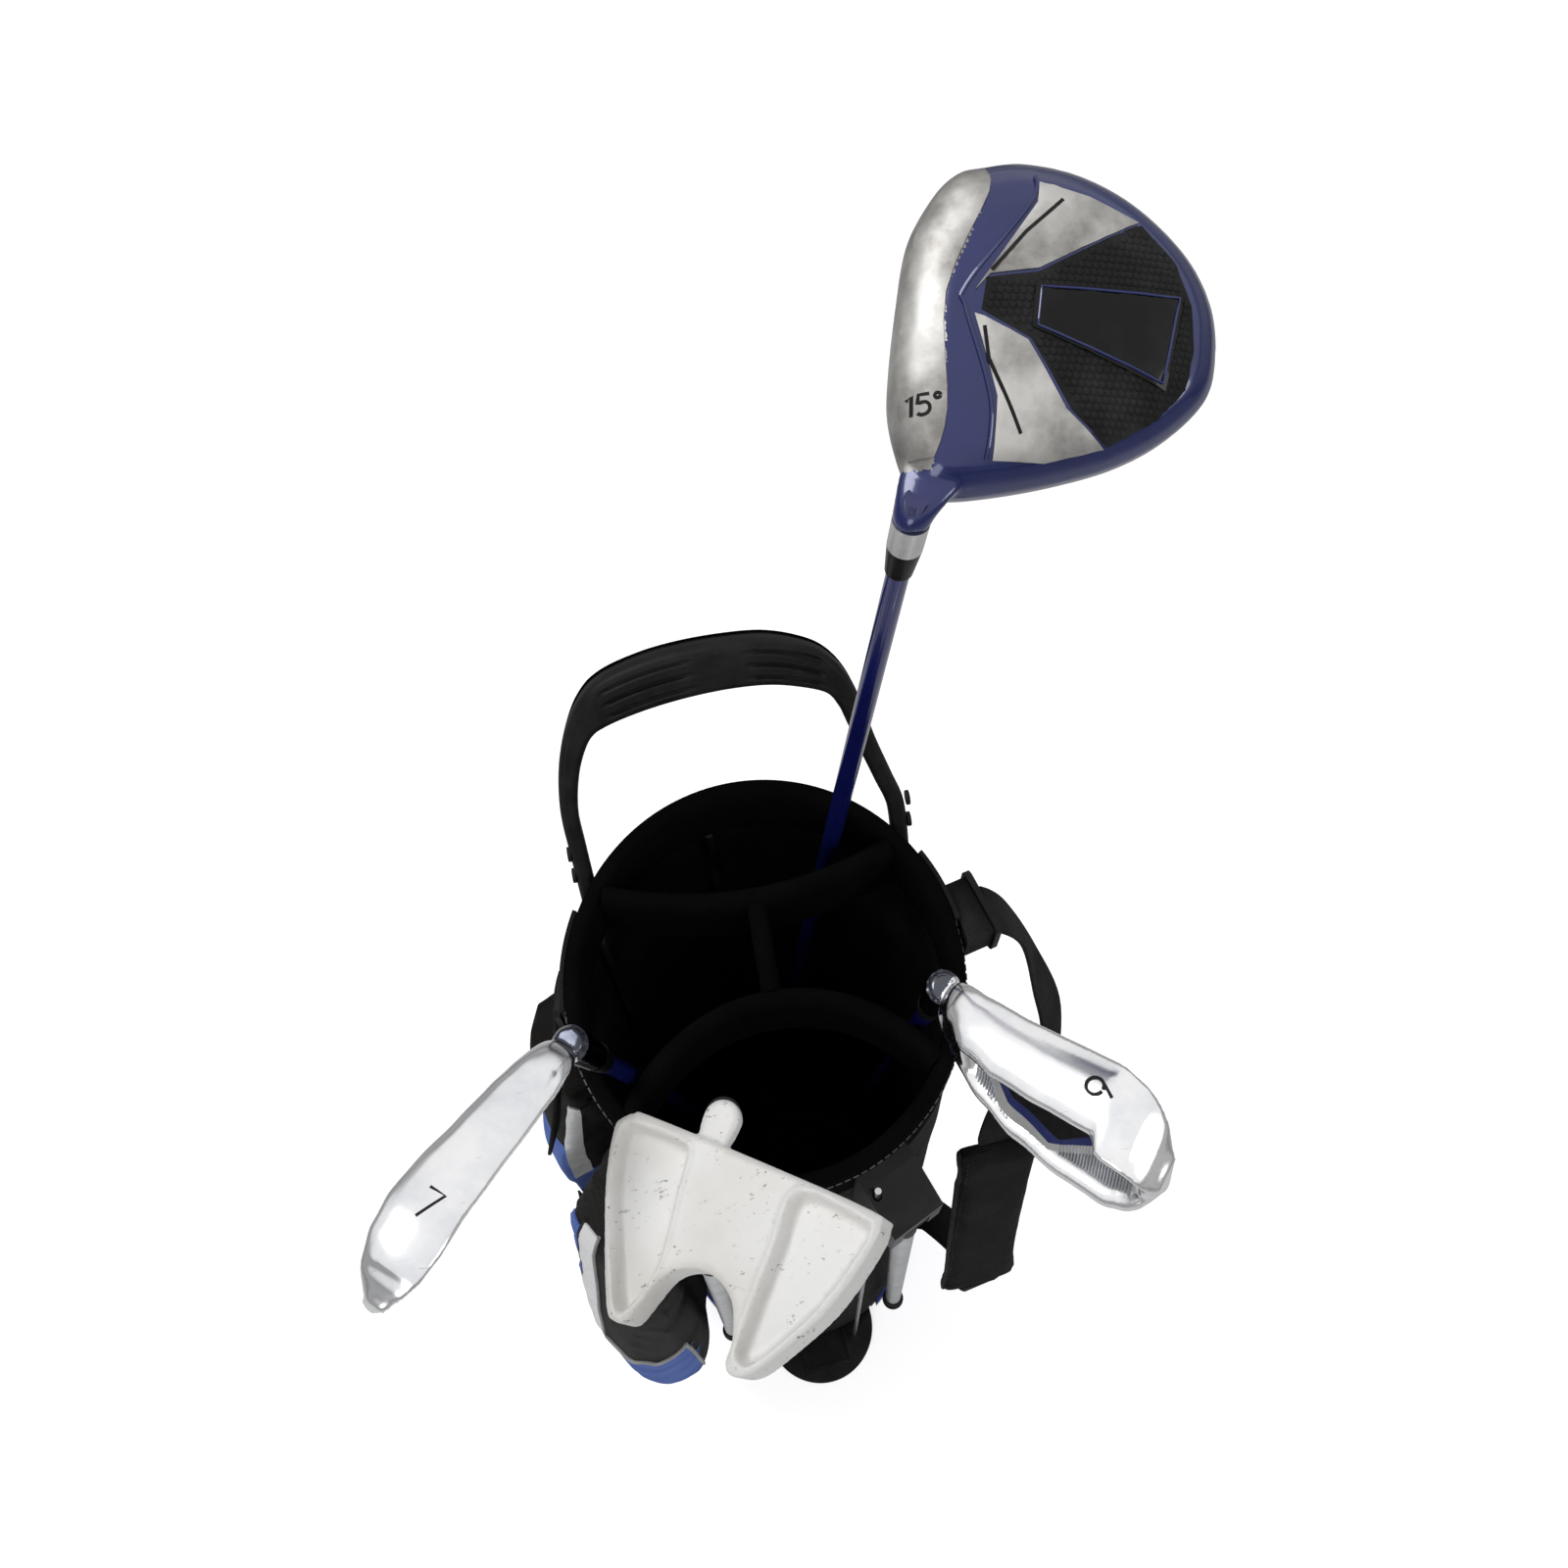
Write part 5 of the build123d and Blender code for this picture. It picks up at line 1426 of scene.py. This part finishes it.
def puffed(name, cadNode, voxel, shrink, cap, hold=None):
    # the CAD piece's own shape, a little smaller, swelled by cloth simulation
    start = joined(name, [merged(cadNode)], voxel=voxel, smooth=cloth["smooth"])
    work = bmesh.new()
    work.from_mesh(start)
    work.normal_update()
    for v in work.verts:
        v.co -= v.normal * shrink * mm
    work.to_mesh(start)
    work.free()
    origin = [v.co.copy() for v in start.vertices]
    moved = swelled(name, start)
    for v, was, now in zip(start.vertices, origin, moved):
        step = now - was
        if step.length > cap * mm:
            step *= cap * mm / step.length
        v.co = was + step
        if hold:
            v.co = hold(v.co.copy())
    for polygon in start.polygons:
        polygon.use_smooth = True
    return start


def finer(obj):
    more = obj.modifiers.new("finer", "SUBSURF")
    more.levels = more.render_levels = 1


def sideWay(azimuth):
    a = math.radians(azimuth)
    return Vector((math.cos(a), math.sin(a), 0))


def onSide(surface, azimuth, z, lift):
    # a point on the pockets' outer face, with the way out of it
    axis = Vector((pockets["axis"], 0, z)) * mm
    hit, normal, _, _ = surface.ray_cast(axis + sideWay(azimuth) * 0.26, -sideWay(azimuth))
    if hit is None:
        hit, normal, _, _ = surface.find_nearest(axis + sideWay(azimuth) * 0.14)
    if normal.dot(sideWay(azimuth)) < 0:
        normal = -normal
    return hit + normal * lift * mm, normal


def panelMesh(name, spots, faces, thick):
    # a thin closed panel on (place, way out) spots
    top = [hit + normal * (panelLift + thick) * mm for hit, normal in spots]
    low = [hit + normal * (panelLift - 0.6) * mm for hit, normal in spots]
    return closedSheet(name, top, low, faces, 55)


def sidePatch(name, surface, outline, thick):
    # a thin sewn panel that follows the pockets, outline in degrees and mm
    scale = 2.4  # mm to a degree there
    verts, faces = flatFill([(a * scale, z) for a, z in outline], panelGap)
    return panelMesh(name, [onSide(surface, u / scale, z, 0) for u, z in verts], faces, thick)


def sidePath(surface, points, lift):
    return [onSide(surface, p.x, p.y, lift)[0] for p in smoothPath([(a, z, 0) for a, z in points], 6)]


def piping(name, surface, points, radius, material):
    path = sidePath(surface, points, radius * 0.6)
    return addPiece(tube(name, path, radius), "bag", material)


def leftSwell(p, first, last, low, high, most):
    # the cloth stands out furthest on the bag's left
    out = Vector((p.x - pockets["axis"] * mm, p.y, 0))
    azimuth = math.degrees(math.atan2(out.y, out.x)) % 360
    across = max(0.0, min(1.0, (azimuth - first) / 12, (last - azimuth) / 12))
    z = p.z / mm
    upward = max(0.0, min(1.0, (z - low) / 60, (high - z) / 60))
    grow = most * across * upward * (2 - across) * (2 - upward)
    return p + out.normalized() * grow * mm if out.length > 0.1 else p


def holdSidePocket(p):
    # the cloth stays flat under the zip's track
    p = leftSwell(shellOutside(p), *pockets["sideSwell"])
    out, side = sideWay(pockets["zipAt"]), sideWay(pockets["zipAside"])
    flat = Vector((p.x - pockets["axis"] * mm, p.y, 0))
    reach, aside = flat.dot(out), abs(flat.dot(side))
    if pockets["zipLow"] < p.z < pockets["zipHigh"] and reach > 0.1:
        limit = pockets["zipFlat"] + max(0.0, aside - 0.008) * 0.6
        if reach > limit:
            p = p + out * (limit - reach)
    return p


def holdFrontPocket(p):
    return leftSwell(shellOutside(p), *pockets["frontSwell"])


def addPocket(name, cadNode, material, hold):
    mesh = puffed(name, cadNode, pockets["voxel"], pockets["shrink"], pockets["cap"], hold=hold)
    pocket = addPiece(mesh, "bag", material, (cadNode,))
    finer(pocket)
    return pocket


frontPocket = addPocket("frontPocket", "pocket_front", pocketCloth, holdFrontPocket)
sidePocket = addPocket("sidePocket", "pocket_side", blueCloth, holdSidePocket)
sidePocket.data.materials.append(pocketCloth)
for polygon in sidePocket.data.polygons:  # its top and its inner upper end are black
    if polygon.center.z > 0.500 or (polygon.center.y < -0.02 and polygon.center.z > 0.47):
        polygon.material_index = 1
frontTree = bodyTree(frontPocket)


def endPatch(name, surface, outline, thick):
    # a sewn panel on the side pocket's end, outline in mm out from the bag's middle and up
    out, run = sideWay(-173), Vector((0.35, 0.94, 0)).normalized()

    def onEnd(u, z):
        start = Vector((pockets["axis"], 0, z)) * mm + out * u * mm - run * 0.08
        hit, normal, _, _ = surface.ray_cast(start, run)
        if hit is None:
            hit, normal, _, _ = surface.find_nearest(start + run * 0.08)
        return hit, (normal if normal.dot(run) < 0 else -normal)

    verts, faces = flatFill(outline, panelGap)
    return panelMesh(name, [onEnd(u, z) for u, z in verts], faces, thick)


sideTree = bodyTree(sidePocket)
panelLift, panelGap = 0.3, 2.5
# on the side pocket's end, then on the front pocket's side
panels = {
    "whitePanelHigh": {"make": endPatch, "on": sideTree, "material": whiteVinyl, "thick": 0.9, "outline": [
        (121, 553), (128, 505), (132, 470), (134, 430), (124, 428), (122, 470), (119, 505), (115, 547)]},
    "blackPanelHigh": {"make": endPatch, "on": sideTree, "material": pocketCloth, "thick": 0.7, "outline": [
        (114.6, 547), (118.6, 505), (121.6, 470), (123.6, 430), (106, 430), (102, 480), (101, 520),
        (102, 556)]},
    "bluePanelLow": {"make": sidePatch, "on": frontTree, "material": blueCloth, "thick": 0.7, "outline": [
        (-162, 470), (-162, 200), (-158, 200), (-157, 300), (-156.5, 400), (-158, 470)]},
    "whitePanelLow": {"make": sidePatch, "on": frontTree, "material": whiteVinyl, "thick": 0.9, "outline": [
        (-157.5, 478), (-156, 400), (-156.5, 300), (-157, 200), (-151, 185), (-149.5, 260), (-149.5, 330),
        (-150, 400), (-152, 478)]},
    "blueCorner": {"make": sidePatch, "on": frontTree, "material": blueCloth, "thick": 0.7, "outline": [
        (-147, 176), (-147, 250), (-141, 275), (-135, 300), (-130, 308), (-127, 296), (-128, 172)]},
}
pipings = {
    "panelPipingA": (1.0, bindingTape, [(-157.5, 480), (-156.4, 400), (-156.6, 300), (-157, 190)]),
    # a grey piping on the seam between the white and the black panel; its grey is partly a painted highlight
    # along the black panel's edge
    "panelPipingB": (1.1, pipingTape, [(-152, 480), (-150, 400), (-149.4, 330), (-149.5, 262), (-151, 180)]),
    "panelPipingC": (1.4, pipingTape, [(-149, 250), (-141, 277), (-135, 302), (-130, 311), (-126.4, 297),
                                       (-127.4, 172)]),
}
for name, facts in panels.items():
    addPiece(facts["make"](name, facts["on"], facts["outline"], facts["thick"]), "bag", facts["material"])
for name, (radius, material, points) in pipings.items():
    piping(name, frontTree, points, radius, material)
print("pockets and panels made")

padSizes = {
    "run": [(109, -54.5, 500), (107, -66, 465), (106, -88, 370), (107, -101, 312)], "across": (1, 0.08, 0),
    "half": 26.5, "lowMiddle": (107, -103, 300), "binding": 2.0, "stitchAt": (-22, 22),
    "lowEdge": [(24, 4), (16, -1), (6, 1), (0, 4), (-6, 1), (-16, -1), (-24, 4)],
    "voxel": 4.0, "shrink": 2.0, "cap": 3.2,
}
strapPad = addPiece(puffed("strapPad", "strap_pad", padSizes["voxel"], padSizes["shrink"], padSizes["cap"]),
                    "bag", padMesh, ("strap_pad",))
finer(strapPad)
padTree = bodyTree(strapPad)
padWay = Vector(padSizes["across"]).normalized()
padLine = smoothPath(padSizes["run"], 8)


def bindPad():
    # binding down one edge, round the lower end's two lobes and up the other edge
    half = padSizes["half"]
    lowMiddle = Vector(padSizes["lowMiddle"]) * mm
    path = [p * mm + padWay * half * mm for p in padLine]
    path += [lowMiddle + padWay * w * mm + Vector((0, 0, z)) * mm for w, z in padSizes["lowEdge"]]
    path += [p * mm - padWay * half * mm for p in reversed(padLine)]
    path = [padTree.find_nearest(p)[0] for p in path]
    addPiece(tube("padBinding", path, padSizes["binding"]), "bag", bindingTape)


def stitchPad():
    # one row of stitches inside each edge, on the pad's outer face
    thread = stitchTree("blackStitch", bindingTape)
    outward = Vector((0.4, -0.9, 0.2))
    for side in padSizes["stitchAt"]:
        line = []
        for p in padLine[2:-2]:
            start = p * mm + padWay * side * mm
            hit = padTree.ray_cast(start + outward * 0.05, -outward.normalized())[0]
            if hit:
                line.append(hit)
        if len(line) > 2:
            stitches("padStitches" + str(side + 22), line, "bag", thread,
                     Pitch=0.0045, Thread=0.0004, Length=0.0032)


bindPad()
stitchPad()
zipWay = sideWay(pockets["zipAt"])
zipOut = max(v.co.dot(zipWay) for v in nodes["zip_track"].data.vertices)
zipLine = []
for z in range(192, 394, 4):
    spot = Vector((pockets["axis"], 0, z)) * mm
    zipLine.append(spot + zipWay * (zipOut - spot.dot(zipWay) - 0.00045))
zipCoil = stitchTree("zipCoil", greyMoulded)
stitches("zipTeeth", zipLine, "bag", zipCoil, Pitch=0.0024, Thread=0.0006, Length=0.0014)
shellTree = bodyTree(bagShell)
for seamNumber, seamAt in enumerate((20, 62, 118, 160)):
    line = [shellTree.find_nearest(shellPoint(math.radians(seamAt), z, 1.0))[0] for z in range(70, 620, 10)]
    stitches("shellSeam" + str(seamNumber), line, "bag", greyStitch,
             Pitch=0.0042, Thread=0.0004, Length=0.003)
print("soft pieces made")

view = {"place": (-0.0312, -0.1996, 1.2524), "lens": 30.375, "turn": -9.0, "pitch": 62.3, "roll": 1.5}


def aimCamera():
    camera = bpy.data.objects.new("camera", bpy.data.cameras.new("camera"))
    bpy.context.scene.collection.objects.link(camera)
    turn, pitch, roll = (math.radians(view[k]) for k in ("turn", "pitch", "roll"))
    level = Vector((-math.sin(turn), math.cos(turn), 0))
    ahead = level * math.cos(pitch) - Vector((0, 0, math.sin(pitch)))
    side = Vector((math.cos(turn), math.sin(turn), 0))
    down = ahead.cross(side)
    right = side * math.cos(roll) + down * math.sin(roll)
    low = down * math.cos(roll) - side * math.sin(roll)
    axes = Matrix((right, -low, -ahead)).transposed()
    camera.matrix_world = Matrix.Translation(Vector(view["place"])) @ axes.to_4x4()
    camera.data.lens = view["lens"]
    camera.data.sensor_width = 36.0
    camera.data.clip_start = 0.01
    bpy.context.scene.camera = camera


aimCamera()

# sky holds (height, grey) for what shiny pieces reflect, lamps hold (place, size, power)
stage = {
    "floorHalf": 6, "floorDrop": 0.0005, "floorGrey": (0.86, 0.86, 0.86), "floorGlow": 0.66,
    "skyLow": (0.0, 0.02), "skyHigh": (1.0, 0.95),
    "sky": [(0.42, 0.03), (0.52, 0.45), (0.60, 0.22), (0.68, 0.85)],
    "fill": 0.32, "aim": (0, 0, 0.6),
    "lamps": {"keyLamp": ((-0.8, 0.5, 2.3), 0.9, 15), "sideLamp": ((1.4, -0.9, 1.5), 0.7, 5),
              "frontLamp": ((-0.9, -1.4, 1.2), 0.7, 4)},
}


def buildFloor():
    # a pale floor that looks white to the camera and still takes shadows
    half = stage["floorHalf"]
    turns = ((-1, -1), (1, -1), (1, 1), (-1, 1))
    corners = [Vector((x * half, y * half, -stage["floorDrop"])) for x, y in turns]
    floor = bpy.data.objects.new("floor", addMesh("floor", corners, [(0, 1, 2, 3)], recalc=False))
    bpy.context.scene.collection.objects.link(floor)
    paper = newFinish("paleFloor", stage["floorGrey"], 0.9)
    rays = node(paper, "ShaderNodeLightPath")
    seen = maths(paper, "MAXIMUM", rays.outputs["Is Camera Ray"], rays.outputs["Is Transmission Ray"])
    glow = node(paper, "ShaderNodeEmission")
    link(paper, maths(paper, "MULTIPLY", seen, stage["floorGlow"]), glow.inputs["Strength"])
    both = node(paper, "ShaderNodeAddShader")
    link(paper, shaderOf(paper).outputs[0], both.inputs[0])
    link(paper, glow.outputs[0], both.inputs[1])
    link(paper, both.outputs[0], paper.node_tree.nodes["Material Output"].inputs["Surface"])
    floor.data.materials.append(paper)


def buildWorld():
    # white to the camera, an even fill on matt pieces, and a banded sky in shiny ones
    world = bpy.data.worlds.new("studio")
    bpy.context.scene.world = world
    world.use_nodes = True
    rays = node(world, "ShaderNodeLightPath")
    back = world.node_tree.nodes["Background"]
    back.inputs["Color"].default_value = (1, 1, 1, 1)
    split = node(world, "ShaderNodeSeparateXYZ")
    link(world, node(world, "ShaderNodeTexCoord").outputs["Generated"], split.inputs[0])
    upward = node(world, "ShaderNodeMapRange")
    upward.inputs["From Min"].default_value = -1.0
    link(world, split.outputs["Z"], upward.inputs["Value"])
    sky = node(world, "ShaderNodeValToRGB")
    for element, (place, grey) in zip(sky.color_ramp.elements, (stage["skyLow"], stage["skyHigh"])):
        element.position, element.color = place, (grey, grey, grey, 1)
    for place, grey in stage["sky"]:
        sky.color_ramp.elements.new(place).color = (grey, grey, grey, 1)
    link(world, upward.outputs["Result"], sky.inputs["Fac"])
    matt = node(world, "ShaderNodeMix")
    matt.inputs[2].default_value = stage["fill"]
    link(world, rays.outputs["Is Glossy Ray"], matt.inputs[0])
    link(world, sky.outputs["Color"], matt.inputs[3])
    strength = node(world, "ShaderNodeMix")
    strength.inputs[3].default_value = 1.0
    link(world, rays.outputs["Is Camera Ray"], strength.inputs[0])
    link(world, matt.outputs[0], strength.inputs[2])
    link(world, strength.outputs[0], back.inputs["Strength"])


def buildLamps():
    for name, (place, size, power) in stage["lamps"].items():
        lamp = bpy.data.lights.new(name, "AREA")
        lamp.shape = "DISK"
        lamp.size = size
        lamp.energy = power
        obj = bpy.data.objects.new(name, lamp)
        obj.location = place
        obj.rotation_mode = "QUATERNION"
        obj.rotation_quaternion = (Vector(stage["aim"]) - Vector(place)).to_track_quat("-Z", "Y")
        bpy.context.scene.collection.objects.link(obj)


bpy.context.scene.view_settings.view_transform = "Standard"
buildFloor()
buildWorld()
buildLamps()
print("camera and stage made")
